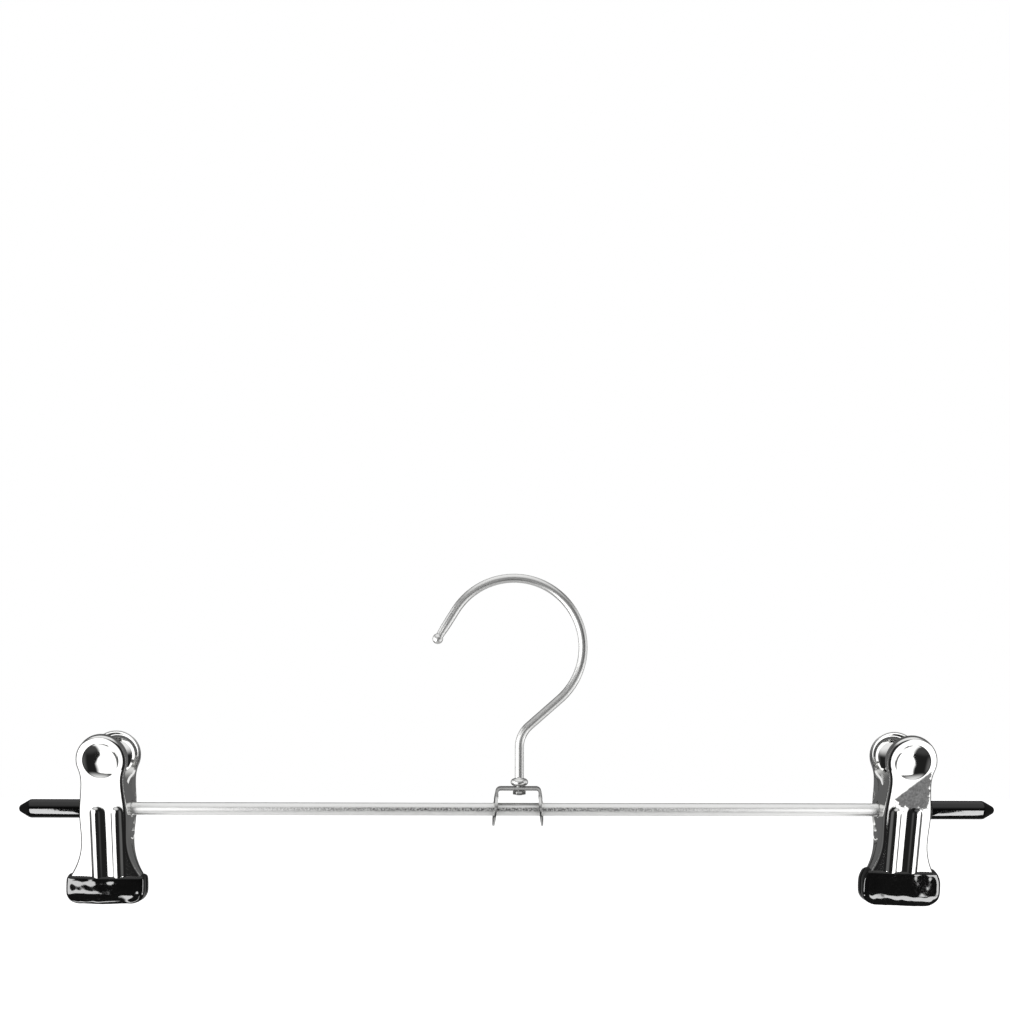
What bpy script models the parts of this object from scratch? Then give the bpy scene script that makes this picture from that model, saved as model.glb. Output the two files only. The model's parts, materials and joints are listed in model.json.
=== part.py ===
"""Trouser hanger: a steel bar with a spring clip at each end, hung from a wire hook that swivels.

Sizes are metres, +Z is up, +X runs along the bar and the front faces -Y.
The origin is the hook's seat: the inside of its crown, where a wardrobe rail bears.
"""

import math

import bmesh
import bpy
from mathutils import Matrix, Vector

# Clearances
GAP = 0.0003
JAW_FACE_GAP = 0.0003
EAR_HOLE_PLAY = 0.0007

# Bar
BAR_LENGTH = 0.3224
BAR_DIAMETER = 0.0044
BAR_END_CHAMFER = 0.0004

# End caps, whose bores end where the nose starts to narrow
CAP_LENGTH = 0.0218
CAP_WALL = 0.00065
CAP_NOSE_LENGTH = 0.0039
CAP_NOSE_RADIUS = 0.0015
CAP_RIM_RADIUS = 0.0003

# Hook, with heights over the bar's axis. The stem's bend starts its drop below the hook's circle
HOOK_WIRE = 0.0030
HOOK_RADIUS = 0.0234
HOOK_CENTRE_HEIGHT = 0.0548
HOOK_ARC_END = 148.0
HOOK_TIP_RUN = 0.0100
HOOK_BALL_RADIUS = 0.0018
HOOK_NECK_RADIUS = 0.0013
STEM_BEND_RADIUS = 0.0060
STEM_BEND_DROP = 0.0079
STEM_FROM_HOOK_CENTRE = 0.0019
BEAD_RADIUS = 0.00295
BEAD_HEIGHT = 0.0026
BEAD_END_ANGLE = 7.0
BALL_END_ANGLE = 168.0
SPIGOT_DIAMETER = 0.0024

# Ferrule on the spigot's end
FERRULE_WIDTH = 0.0044
FERRULE_HEIGHT = 0.0013
FERRULE_SIDES = 6
SPIGOT_STICKS_OUT = 0.0002

# Bracket
STRIP_THICKNESS = 0.0010
BRACKET_SPAN = 0.0156
BRACKET_HEIGHT = 0.0076
BRACKET_BEND_RADIUS = 0.0018
BRACKET_FROM_STEM = -0.0003
STEM_FROM_BAR_MIDDLE = 0.0043
LEG_WIDTH = 0.0066
LUG_RADIUS = 0.0056
LUG_FOOT_ANGLE = -84.0
LUG_TWIST = 3.0
LEFT_LEG_SPLAY = 5.9
RIGHT_LEG_SPLAY = 3.9

# Jaw plates, with heights along the plate from the foot of the perpendicular to the pivot
SHEET = 0.00075
JAW_TILT = 12.5
PIVOT_TO_FACE = 0.0084
EDGE_BEND_RADIUS = 0.0010
PAD_RADIUS = 0.0085
PAD_HEIGHT = 0.0192
PAD_FLANGE = 0.0030
WAIST_WIDTH = 0.0144
WAIST_HEIGHT = 0.0120
EAR_WIDTH = 0.0162
EAR_RADIUS = 0.0058
EAR_TOP_HEIGHT = 0.0132
EAR_FOOT_DEPTH = 0.0090
INNER_EAR_WIDTH = 0.0124
INNER_EAR_TOP_HEIGHT = 0.0102
INNER_EAR_FOOT_DEPTH = 0.0122
JOGGLE_DEPTH = 0.0026
NECK_WIDTH = 0.0157
NECK_DEPTH = 0.0084
FLARE_RADIUS = 0.0226
SHOULDER_RADIUS = 0.0040
TIP_WIDTH = 0.0243
TIP_DEPTH = 0.0280
TIP_CORNER_RADIUS = 0.0030

# Dish in the thumb pad
DISH_RADIUS = 0.0060
DISH_DEPTH = 0.0017

# Ribs down the jaw
RIB_SPACING = 0.0068
RIB_RADIUS = 0.0022
RIB_RISE = 0.0011
RIB_TOP_HEIGHT = 0.0036

# Vinyl grips on the jaw tips
GRIP_WALL = 0.00075
GRIP_FACE_WALL = 0.00042
GRIP_TOP_DEPTH = 0.0209
GRIP_FOOT_DEPTH = 0.0311
GRIP_CORNER_RADIUS = 0.0042
GRIP_EDGE_RADIUS = 0.0008

# Torsion spring round the bar
SPRING_WIRE = 0.0012
SPRING_TURN_GAP = 0.0005
SPRING_FULL_TURNS = 6
SPRING_LEG_REACH = 0.0130
SPRING_POINTS_PER_TURN = 9

# How the clips sit askew on the bar, as their loose holes let them: degrees about Y and Z
LEFT_CLIP_LEAN = 0.5
RIGHT_CLIP_LEAN = 1.7
RIGHT_CLIP_YAW = 2.5
RIGHT_CLIP_STANDOFF = 0.0012

# Worked out from the sizes above
WIRE_RADIUS = HOOK_WIRE / 2
BAR_RADIUS = BAR_DIAMETER / 2
BORE_RADIUS = BAR_RADIUS + GAP
CAP_RADIUS = BORE_RADIUS + CAP_WALL
SPIGOT_RADIUS = SPIGOT_DIAMETER / 2
CAP_END_WALL = CAP_NOSE_LENGTH - BAR_END_CHAMFER
OVERALL_LENGTH = BAR_LENGTH + 2 * (GAP + CAP_END_WALL)
BAR_Z = -(HOOK_CENTRE_HEIGHT + HOOK_RADIUS - WIRE_RADIUS)
STEM_BEND_HEIGHT = HOOK_CENTRE_HEIGHT - HOOK_RADIUS - STEM_BEND_DROP
STEM_X = STEM_FROM_HOOK_CENTRE
BAR_X = STEM_X - STEM_FROM_BAR_MIDDLE
EAR_HALF = EAR_WIDTH / 2
CLIP_REACH = OVERALL_LENGTH / 2 - CAP_LENGTH - GAP - EAR_HALF
CLIP_PLACES = {"left": -CLIP_REACH, "right": CLIP_REACH - RIGHT_CLIP_STANDOFF}
CLIP_TURNS = {"left": (0, LEFT_CLIP_LEAN, 0), "right": (0, RIGHT_CLIP_LEAN, RIGHT_CLIP_YAW)}
TILT = math.radians(JAW_TILT)

# Steps that round shapes are cut into
ROUND_STEPS = 20
BAR_STEPS = 24
RIB_STEPS = 16
CROWN_STEPS = 30
BEND_STEPS = 6
BALL_STEPS = 6
CORNER_STEPS = 4
WAIST_STEPS = 7
PAD_STEPS = 8
WIRE_RESOLUTION = 3
SAME_PLACE = 0.000001


def clear_scene():
    for obj in list(bpy.data.objects):
        bpy.data.objects.remove(obj)


def material(name, colour, roughness, metallic):
    made = bpy.data.materials.new(name)
    made.use_nodes = True
    shader = made.node_tree.nodes["Principled BSDF"]
    shader.inputs["Base Color"].default_value = (*colour, 1.0)
    shader.inputs["Roughness"].default_value = roughness
    shader.inputs["Metallic"].default_value = metallic
    return made


def add_empty(name, location, parent=None):
    empty = bpy.data.objects.new(name, None)
    empty.location = location
    empty.parent = parent
    bpy.context.collection.objects.link(empty)
    return empty


def add_object(name, data, parent=None, location=(0, 0, 0), rotation=(0, 0, 0)):
    obj = bpy.data.objects.new(name, data)
    obj.location = location
    obj.rotation_euler = rotation
    obj.parent = parent
    bpy.context.collection.objects.link(obj)
    return obj


def to_mesh(bm, name):
    bmesh.ops.recalc_face_normals(bm, faces=bm.faces)
    mesh = bpy.data.meshes.new(name)
    bm.to_mesh(mesh)
    bm.free()
    return mesh


def smoothed(mesh, surface):
    """Gives a mesh its material and smooth shading with crisp edges."""
    mesh.materials.clear()
    mesh.materials.append(surface)
    mesh.shade_smooth()
    mesh.set_sharp_from_angle(angle=math.radians(38))
    return mesh


def carve(obj, tool, operation):
    """Adds a Boolean to obj and leaves its tool out of the model."""
    tool.hide_render = True
    tool.display_type = "WIRE"
    boolean = obj.modifiers.new(tool.name, "BOOLEAN")
    boolean.operation = operation
    boolean.solver = "EXACT"
    boolean.object = tool


def applied(obj, tools):
    """The mesh that obj's modifiers make. The object and its tools are then removed."""
    graph = bpy.context.evaluated_depsgraph_get()
    mesh = bpy.data.meshes.new_from_object(obj.evaluated_get(graph))
    for helper in [obj, *tools]:
        bpy.data.objects.remove(helper)
    return mesh


def arc(centre_x, centre_z, radius, start, end, steps):
    """Points on an arc between two angles in degrees, ends included."""
    turns = [math.radians(start + (end - start) * i / steps) for i in range(steps + 1)]
    return [(centre_x + radius * math.cos(a), centre_z + radius * math.sin(a)) for a in turns]


def ease(start, end, share):
    """A smooth step from start to end as share goes from 0 to 1."""
    share = min(1.0, max(0.0, share))
    return start + (end - start) * share * share * (3 - 2 * share)


def turned(profile, axis, steps=ROUND_STEPS):
    """A closed solid turned about axis from (along, radius) points that start and end on it."""
    side = Vector((0, 0, 1)) if axis == Vector((1, 0, 0)) else Vector((1, 0, 0))
    bm = bmesh.new()
    verts = [bm.verts.new(axis * along + side * radius) for along, radius in profile]
    for a, b in zip(verts, verts[1:]):
        bm.edges.new((a, b))
    bmesh.ops.spin(
        bm,
        geom=bm.verts[:] + bm.edges[:],
        cent=(0, 0, 0),
        axis=axis,
        angle=2 * math.pi,
        steps=steps,
        use_merge=True,
    )
    bmesh.ops.remove_doubles(bm, verts=bm.verts, dist=SAME_PLACE)
    return bm


def round_bar(name, radius, length, steps=ROUND_STEPS):
    """A round bar along X, centred on the origin."""
    half = length / 2
    profile = [(-half, 0), (-half, radius), (half, radius), (half, 0)]
    return add_object(name, to_mesh(turned(profile, Vector((1, 0, 0)), steps), name))


def prism(outline, front, back):
    """An outline of (x, z) points, extruded along Y from front to back."""
    bm = bmesh.new()
    face = bm.faces.new([bm.verts.new((x, front, z)) for x, z in outline])
    made = bmesh.ops.extrude_face_region(bm, geom=[face])
    moved = [v for v in made["geom"] if isinstance(v, bmesh.types.BMVert)]
    bmesh.ops.translate(bm, verts=moved, vec=(0, back - front, 0))
    return bm


def mirrored(side):
    """A closed outline from its right side's points, which run upwards."""
    return side + [(-x, z) for x, z in reversed(side) if x > SAME_PLACE]


def wire(name, points, radii, wire_radius, resolution, surface, parent, location):
    """A round wire through points, as thick at each point as radii says."""
    curve = bpy.data.curves.new(name, "CURVE")
    curve.dimensions = "3D"
    curve.bevel_depth = wire_radius
    curve.bevel_resolution = resolution
    curve.use_fill_caps = True
    spline = curve.splines.new("POLY")
    spline.points.add(len(points) - 1)
    for point, place, radius in zip(spline.points, points, radii):
        point.co = (*place, 1)
        point.radius = radius / wire_radius
    spline.use_smooth = True
    curve.materials.append(surface)
    return add_object(name, curve, parent, location)


def hook_bend_angle():
    """The angle from upright, in radians, of the straight run that touches both of the hook's bends."""
    across = STEM_FROM_HOOK_CENTRE + STEM_BEND_RADIUS
    up = HOOK_CENTRE_HEIGHT - STEM_BEND_HEIGHT
    return math.asin((HOOK_RADIUS + STEM_BEND_RADIUS) / math.hypot(across, up)) - math.atan2(across, up)


def hook_path():
    """The hook wire's centre line above its bead, with X from the stem and Z from the bar's axis."""
    lean = math.degrees(hook_bend_angle())
    bead_top = BRACKET_HEIGHT + GAP + BEAD_HEIGHT
    rise = [(0.0, bead_top + (STEM_BEND_HEIGHT - bead_top) * share) for share in (0.15, 0.5)]
    bend = arc(STEM_BEND_RADIUS, STEM_BEND_HEIGHT, STEM_BEND_RADIUS, 180, 180 - lean, BEND_STEPS)
    crown = arc(-STEM_FROM_HOOK_CENTRE, HOOK_CENTRE_HEIGHT, HOOK_RADIUS, -lean, HOOK_ARC_END, CROWN_STEPS)
    return rise + bend + crown


def hook():
    """The hook wire, with its ball tip, the bead over the bracket and the spigot through it."""
    ferrule_foot = BRACKET_HEIGHT - STRIP_THICKNESS - GAP - FERRULE_HEIGHT
    bead_foot = BRACKET_HEIGHT + GAP
    points = [(0.0, ferrule_foot - SPIGOT_STICKS_OUT), (0.0, bead_foot)]
    radii = [SPIGOT_RADIUS, SPIGOT_RADIUS]
    for step in range(BALL_STEPS + 1):
        turn = math.radians(BEAD_END_ANGLE + (180 - 2 * BEAD_END_ANGLE) * step / BALL_STEPS)
        points.append((0.0, bead_foot + BEAD_HEIGHT * (1 - math.cos(turn)) / 2))
        radii.append(WIRE_RADIUS + (BEAD_RADIUS - WIRE_RADIUS) * math.sin(turn))
    points.append((0.0, bead_foot + BEAD_HEIGHT))
    radii.append(WIRE_RADIUS)
    path = hook_path()
    points += path
    radii += [WIRE_RADIUS] * len(path)

    end = math.radians(HOOK_ARC_END)
    onward = Vector((-math.sin(end), math.cos(end)))
    start = Vector(path[-1])
    for share, radius in ((0.5, WIRE_RADIUS), (1.0, HOOK_NECK_RADIUS)):
        points.append(tuple(start + onward * HOOK_TIP_RUN * share))
        radii.append(radius)
    ball_start = math.asin(HOOK_NECK_RADIUS / HOOK_BALL_RADIUS)
    for step in range(1, BALL_STEPS + 1):
        turn = ball_start + (math.radians(BALL_END_ANGLE) - ball_start) * step / BALL_STEPS
        along = HOOK_BALL_RADIUS * (math.cos(ball_start) - math.cos(turn))
        points.append(tuple(start + onward * (HOOK_TIP_RUN + along)))
        radii.append(HOOK_BALL_RADIUS * math.sin(turn))
    places = [(x, 0.0, z) for x, z in points]
    return places, radii


def ferrule():
    """The crimped ferrule, around the spigot under the bracket."""
    top = BRACKET_HEIGHT - STRIP_THICKNESS - GAP
    bm = bmesh.new()
    bmesh.ops.create_cone(
        bm,
        cap_ends=True,
        segments=FERRULE_SIDES,
        radius1=FERRULE_WIDTH / 2,
        radius2=FERRULE_WIDTH / 2,
        depth=FERRULE_HEIGHT,
        matrix=Matrix.Translation((0, 0, top - FERRULE_HEIGHT / 2)) @ Matrix.Rotation(math.pi / 2, 4, "Z"),
    )
    body = add_object("ferrule_blank", to_mesh(bm, "ferrule_blank"))
    bore_half = FERRULE_HEIGHT
    radius = SPIGOT_RADIUS + GAP
    profile = [(-bore_half, 0), (-bore_half, radius), (bore_half, radius), (bore_half, 0)]
    drill = add_object("ferrule_bore", to_mesh(turned(profile, Vector((0, 0, 1))), "ferrule_bore"))
    drill.location.z = top - FERRULE_HEIGHT / 2
    carve(body, drill, "DIFFERENCE")
    return applied(body, [drill])


def bracket_rows():
    """Rows across the bent strip, from one lug to the other: middle (x, z), half width, twist."""
    half_span = BRACKET_SPAN / 2 - STRIP_THICKNESS / 2
    bend = BRACKET_BEND_RADIUS - STRIP_THICKNESS / 2
    bend_z = BRACKET_HEIGHT - BRACKET_BEND_RADIUS
    join = math.degrees(math.acos(LEG_WIDTH / 2 / LUG_RADIUS))
    rows = []
    for side, splay in ((-1, LEFT_LEG_SPLAY), (1, RIGHT_LEG_SPLAY)):
        lean = math.tan(math.radians(splay))
        leg = [(side * (half_span + lean * (bend_z - z)), z, half, side * math.radians(LUG_TWIST))
               for half, z in arc(0, 0, LUG_RADIUS, LUG_FOOT_ANGLE, join, 9)]
        corner = [(side * (half_span - bend + x), bend_z + z, LEG_WIDTH / 2, 0.0)
                  for x, z in arc(0, 0, bend, 0, 90, CORNER_STEPS)]
        rows += leg + corner if side < 0 else list(reversed(leg + corner))
    return rows


def bracket():
    """The bent strip, from one mesh of its middle surface, with the bar's and the hook's holes."""
    columns = (-1.0, -0.5, 0.0, 0.5, 1.0)
    bm = bmesh.new()
    before = None
    for x, z, half, twist in bracket_rows():
        middle = BRACKET_FROM_STEM + x
        row = [bm.verts.new((middle + c * half * math.sin(twist), c * half * math.cos(twist), z))
               for c in columns]
        if before:
            for a, b, c, d in zip(before, before[1:], row[1:], row):
                bm.faces.new((a, b, c, d))
        before = row
    body = add_object("bracket_blank", to_mesh(bm, "bracket_blank"))
    thicken = body.modifiers.new("thickness", "SOLIDIFY")
    thicken.thickness = STRIP_THICKNESS
    thicken.offset = 0
    thicken.use_even_offset = True
    bar_drill = round_bar("bracket_bar_hole", BORE_RADIUS, 2 * BRACKET_SPAN)
    hook_drill = round_bar("bracket_hook_hole", SPIGOT_RADIUS + GAP, BRACKET_HEIGHT)
    hook_drill.rotation_euler = (0, math.radians(90), 0)
    hook_drill.location.z = BRACKET_HEIGHT
    carve(body, bar_drill, "DIFFERENCE")
    carve(body, hook_drill, "DIFFERENCE")
    return applied(body, [bar_drill, hook_drill])


def bar():
    half = BAR_LENGTH / 2
    chamfer = BAR_END_CHAMFER
    profile = [(-half, 0), (-half, BAR_RADIUS - chamfer), (-half + chamfer, BAR_RADIUS)]
    profile += [(-along, radius) for along, radius in reversed(profile)]
    return to_mesh(turned(profile, Vector((1, 0, 0)), BAR_STEPS), "bar")


def end_cap():
    """The right cap, with X from the bar's middle. Its bore is open towards the clip."""
    tip = OVERALL_LENGTH / 2
    mouth = tip - CAP_LENGTH
    floor = tip - CAP_END_WALL
    nose = tip - CAP_NOSE_LENGTH
    rim = CAP_RIM_RADIUS
    profile = [(floor, 0), (floor, BORE_RADIUS - BAR_END_CHAMFER), (floor - BAR_END_CHAMFER, BORE_RADIUS)]
    profile += [(mouth, BORE_RADIUS), (mouth, CAP_RADIUS - rim), (mouth + rim, CAP_RADIUS)]
    profile += [(nose, CAP_RADIUS)]
    ball = tip - CAP_NOSE_RADIUS
    reach = math.hypot(ball - nose, CAP_RADIUS)
    touch = math.pi / 2 + math.atan2(ball - nose, CAP_RADIUS) - math.acos(CAP_NOSE_RADIUS / reach)
    for step in range(CORNER_STEPS):
        turn = touch * (1 - step / CORNER_STEPS)
        profile.append((ball + CAP_NOSE_RADIUS * math.cos(turn), CAP_NOSE_RADIUS * math.sin(turn)))
    profile.append((tip, 0))
    return to_mesh(turned(profile, Vector((1, 0, 0)), BAR_STEPS), "end_cap")


def jaw_side(grow, foot, corner):
    """The right side of a jaw's tip, from its foot up to the neck, grown outwards by grow."""
    swing_cosine = 1 - (TIP_WIDTH - NECK_WIDTH) / 2 / (FLARE_RADIUS + SHOULDER_RADIUS)
    swing = math.acos(swing_cosine)
    shoulder_z = -NECK_DEPTH - (FLARE_RADIUS + SHOULDER_RADIUS) * math.sin(swing)
    swing = math.degrees(swing)
    half = TIP_WIDTH / 2
    points = arc(half + grow - corner, foot + corner, corner, -90, 0, CORNER_STEPS)
    points += arc(half - SHOULDER_RADIUS, shoulder_z, SHOULDER_RADIUS + grow, 0, swing, 2)
    flare_x = NECK_WIDTH / 2 + FLARE_RADIUS
    points += arc(flare_x, -NECK_DEPTH, FLARE_RADIUS - grow, 180 + swing, 180, CORNER_STEPS)[1:]
    return points


def plate_side():
    """The right side of a plate's outline, from its foot to the top of the pad."""
    points = jaw_side(0, -TIP_DEPTH, TIP_CORNER_RADIUS)
    for step in range(1, CORNER_STEPS + 1):
        share = step / CORNER_STEPS
        points.append((ease(NECK_WIDTH, EAR_WIDTH, share) / 2, NECK_DEPTH * (share - 1)))
    for step in range(1, WAIST_STEPS + 1):
        share = step / WAIST_STEPS
        points.append((ease(EAR_WIDTH, WAIST_WIDTH, share) / 2, WAIST_HEIGHT * share))
    half, up = WAIST_WIDTH / 2, PAD_HEIGHT - WAIST_HEIGHT
    fillet = (half**2 + up**2 - PAD_RADIUS**2) / (2 * (PAD_RADIUS - half))
    meet = math.degrees(math.atan2(up, half + fillet))
    points += arc(half + fillet, WAIST_HEIGHT, fillet, 180, 180 - meet, 3)[1:]
    points += arc(0, PAD_HEIGHT, PAD_RADIUS, -meet, 90, PAD_STEPS)[1:]
    return points


def centre_plane_depth(height, clearance=0.0):
    """How far behind the plate's face the plane between the two jaws lies, less a clearance."""
    return PIVOT_TO_FACE + height * math.tan(TILT) - clearance / math.cos(TILT)


def ear_edge(height, start_height, start_depth):
    """Depth of the straight edge that runs from a point of the flange to touch the ear's round."""
    across, up = abs(start_height), PIVOT_TO_FACE - start_depth
    reach = math.hypot(across, up)
    slope = math.atan2(up, across) + math.asin(EAR_RADIUS / reach)
    touch = across - math.sqrt(reach**2 - EAR_RADIUS**2) * math.cos(slope)
    if abs(height) > touch:
        return start_depth + (across - abs(height)) * math.tan(slope)
    return PIVOT_TO_FACE + math.sqrt(EAR_RADIUS**2 - height**2)


def flange_depth(height):
    """How deep the plate's turned-in edge reaches behind its face."""
    if height >= EAR_TOP_HEIGHT:
        return PAD_FLANGE
    if height >= 0:
        return ear_edge(height, EAR_TOP_HEIGHT, PAD_FLANGE)
    tip_clearance = JAW_FACE_GAP / 2 + GRIP_FACE_WALL + GAP
    if height >= -EAR_FOOT_DEPTH:
        foot = centre_plane_depth(-EAR_FOOT_DEPTH, JAW_FACE_GAP)
        return ear_edge(height, -EAR_FOOT_DEPTH, foot)
    below = (-height - EAR_FOOT_DEPTH) / (GRIP_TOP_DEPTH - EAR_FOOT_DEPTH)
    return centre_plane_depth(height, ease(JAW_FACE_GAP, tip_clearance, below))


def inward_normals(outline):
    """At each point of a closed outline that runs round to the left, the direction into it."""
    normals = []
    for i, (x, z) in enumerate(outline):
        before, after = outline[i - 1], outline[(i + 1) % len(outline)]
        one = Vector((before[1] - z, x - before[0])).normalized()
        two = Vector((z - after[1], after[0] - x)).normalized()
        normals.append((one + two) / (1 + one.dot(two)))
    return normals


def plate_rings(inner_ears):
    """The plate's surface as rings of points, from the edge of its face to the flange's edge."""
    outline = mirrored(plate_side())
    normals = inward_normals(outline)
    bend = EDGE_BEND_RADIUS
    rings = []
    for turn in (0, 45, 90):
        inset = bend * (1 - math.sin(math.radians(turn)))
        depth = bend * (1 - math.cos(math.radians(turn)))
        rings.append([(x + n.x * inset, depth, z + n.y * inset) for (x, z), n in zip(outline, normals)])
    middle, edge = [], []
    for x, z in outline:
        depth = flange_depth(z)
        inner = x
        if inner_ears:
            above = (EAR_TOP_HEIGHT - z) / (EAR_TOP_HEIGHT - INNER_EAR_TOP_HEIGHT)
            below = (z + INNER_EAR_FOOT_DEPTH) / (INNER_EAR_FOOT_DEPTH - EAR_FOOT_DEPTH)
            share = min(ease(0, 1, above), ease(0, 1, below))
            inner = x + (math.copysign(INNER_EAR_WIDTH / 2, x) - x) * share
        middle.append((inner, min(JOGGLE_DEPTH, (bend + depth) / 2), z))
        edge.append((inner, depth, z))
    return rings + [middle, edge]


def plate_shell(inner_ears):
    """The pressed sheet: a flat face, a round bend all the way round and the turned-in flange."""
    rings = plate_rings(inner_ears)
    bm = bmesh.new()
    place = bm.verts.layers.int.new("place")
    verts = [bm.verts.new((x, depth - PIVOT_TO_FACE, z)) for x, depth, z in rings[0]]
    for number, vert in enumerate(verts):
        vert[place] = number
    bm.faces.new(verts)
    rim = bm.edges[:]
    for ring in rings[1:]:
        made = bmesh.ops.extrude_edge_only(bm, edges=rim)["geom"]
        rim = [e for e in made if isinstance(e, bmesh.types.BMEdge)]
        rim = [e for e in rim if len(e.link_faces) == 1]
        for vert in {v for e in rim for v in e.verts}:
            x, depth, z = ring[vert[place]]
            vert.co = (x, depth - PIVOT_TO_FACE, z)
    return to_mesh(bm, "plate_shell")


def dish_tool(name, radius, front, back):
    """A lens of a ball of this radius round the dish's centre, between two depths behind the face."""
    centre = -PIVOT_TO_FACE + DISH_DEPTH - (DISH_RADIUS**2 + DISH_DEPTH**2) / (2 * DISH_DEPTH)
    half_angle = math.acos((front - PIVOT_TO_FACE - centre) / radius)
    profile = [(centre + radius * math.cos(half_angle), 0)]
    for step in range(CORNER_STEPS + 1):
        turn = half_angle * (1 - step / CORNER_STEPS)
        profile.append((centre + radius * math.cos(turn), radius * math.sin(turn)))
    profile[-1] = (back - PIVOT_TO_FACE, 0)
    tool = add_object(name, to_mesh(turned(profile, Vector((0, 1, 0)), BAR_STEPS), name))
    tool.location.z = PAD_HEIGHT
    return tool


def rib_tool(name, x):
    """A round-topped rib, cut flat inside the plate's face."""
    foot, top = GAP - GRIP_TOP_DEPTH, RIB_TOP_HEIGHT - RIB_RADIUS
    profile = [(foot, 0), (foot, RIB_RADIUS), (top, RIB_RADIUS)]
    for step in range(1, 4):
        turn = math.radians(90 * step / 3)
        profile.append((top + RIB_RADIUS * math.sin(turn), RIB_RADIUS * math.cos(turn)))
    profile[-1] = (top + RIB_RADIUS, 0)
    bm = turned(profile, Vector((0, 0, 1)), RIB_STEPS)
    axis_depth = RIB_RADIUS - RIB_RISE
    inside_face = SHEET / 2 - axis_depth
    made = bmesh.ops.bisect_plane(
        bm,
        geom=bm.verts[:] + bm.edges[:] + bm.faces[:],
        plane_co=(0, inside_face, 0),
        plane_no=(0, 1, 0),
        clear_outer=True,
    )
    cut = [e for e in made["geom_cut"] if isinstance(e, bmesh.types.BMEdge)]
    bmesh.ops.contextual_create(bm, geom=cut)
    tool = add_object(name, to_mesh(bm, name))
    tool.location = (x, axis_depth - PIVOT_TO_FACE, 0)
    return tool


def plate(inner_ears):
    """A jaw plate in its own frame: the pivot at the origin, the face towards -Y, the pad up."""
    body = add_object("plate_blank", plate_shell(inner_ears))
    thicken = body.modifiers.new("thickness", "SOLIDIFY")
    thicken.thickness = SHEET
    thicken.offset = -1
    thicken.use_even_offset = True
    dish_ball = (DISH_RADIUS**2 + DISH_DEPTH**2) / (2 * DISH_DEPTH)
    ribs = [rib_tool(f"rib_{side}", side * RIB_SPACING / 2) for side in (-1, 1)]
    boss = dish_tool("dish_back", dish_ball + SHEET, SHEET / 2, DISH_DEPTH + SHEET)
    dish = dish_tool("dish", dish_ball, -DISH_DEPTH / 4, DISH_DEPTH)
    hole = round_bar("pivot_hole", BAR_RADIUS + EAR_HOLE_PLAY, 2 * EAR_WIDTH)
    for tool in [*ribs, boss]:
        carve(body, tool, "UNION")
    for tool in (dish, hole):
        carve(body, tool, "DIFFERENCE")
    return applied(body, [*ribs, boss, dish, hole])


def jaw_plane(clearance):
    """A point and the backward normal, in the plate's frame, of the plane this far before the middle."""
    normal = Vector((0, math.cos(TILT), -math.sin(TILT)))
    return -normal * clearance, normal


def grip_block(name, grow, face, foot, corner, top, back_clearance):
    """A jaw tip's outline, extruded back from the plate's face and cut off before the middle plane."""
    side = [point for point in jaw_side(grow, foot, corner) if point[1] < top]
    above = [point for point in jaw_side(grow, foot, corner) if point[1] >= top]
    if above and above[0][1] > top:
        (x0, z0), (x1, z1) = side[-1], above[0]
        side.append((x0 + (x1 - x0) * (top - z0) / (z1 - z0), top))
    bm = prism(mirrored(side), face - PIVOT_TO_FACE, PIVOT_TO_FACE)
    point, normal = jaw_plane(back_clearance)
    made = bmesh.ops.bisect_plane(
        bm,
        geom=bm.verts[:] + bm.edges[:] + bm.faces[:],
        plane_co=point,
        plane_no=normal,
        clear_outer=True,
    )
    cut = [e for e in made["geom_cut"] if isinstance(e, bmesh.types.BMEdge)]
    bmesh.ops.contextual_create(bm, geom=cut)
    return add_object(name, to_mesh(bm, name))


def grip():
    """The vinyl over a jaw's tip, as a cup with a pocket that takes the plate."""
    outer_grow = GAP + GRIP_WALL
    body = grip_block(
        "grip_blank", outer_grow, -outer_grow, -GRIP_FOOT_DEPTH, GRIP_CORNER_RADIUS, -GRIP_TOP_DEPTH,
        JAW_FACE_GAP / 2,
    )
    pocket = grip_block(
        "grip_pocket", GAP, -GAP, -TIP_DEPTH - GAP, TIP_CORNER_RADIUS + GAP, -GRIP_TOP_DEPTH + GRIP_WALL,
        JAW_FACE_GAP / 2 + GRIP_FACE_WALL,
    )
    soften = body.modifiers.new("rounding", "BEVEL")
    soften.width = GRIP_EDGE_RADIUS
    soften.segments = 2
    soften.limit_method = "ANGLE"
    soften.angle_limit = math.radians(50)
    carve(body, pocket, "DIFFERENCE")
    return applied(body, [pocket])


def spring_points():
    """The spring's centre line: down the back leg, round the bar and up the front leg."""
    coil = BAR_RADIUS + GAP + SPRING_WIRE / 2
    pitch = SPRING_WIRE + SPRING_TURN_GAP
    plate_inside = PIVOT_TO_FACE - SHEET - GAP - SPRING_WIRE / 2
    tip = Matrix.Rotation(TILT, 3, "X") @ Vector((0, -plate_inside, SPRING_LEG_REACH))
    bearing = math.atan2(-tip.y, tip.z)
    touch = bearing + math.acos(coil / math.hypot(tip.y, tip.z))
    sweep = 2 * math.pi * SPRING_FULL_TURNS - 2 * touch
    turns = sweep / (2 * math.pi)
    half = pitch * turns / 2
    steps = round(turns * SPRING_POINTS_PER_TURN)
    wound = []
    for i in range(steps + 1):
        turn = -touch - sweep * i / steps
        along = -half + 2 * half * i / steps
        wound.append(Vector((along, -coil * math.sin(turn), coil * math.cos(turn))))
    back_tip, front_tip = Vector((-half, -tip.y, tip.z)), Vector((half, tip.y, tip.z))
    back = [back_tip.lerp(wound[0], share) for share in (0, 0.5, 0.9)]
    front = [wound[-1].lerp(front_tip, share) for share in (0.1, 0.5, 1)]
    return back + wound + front


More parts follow.
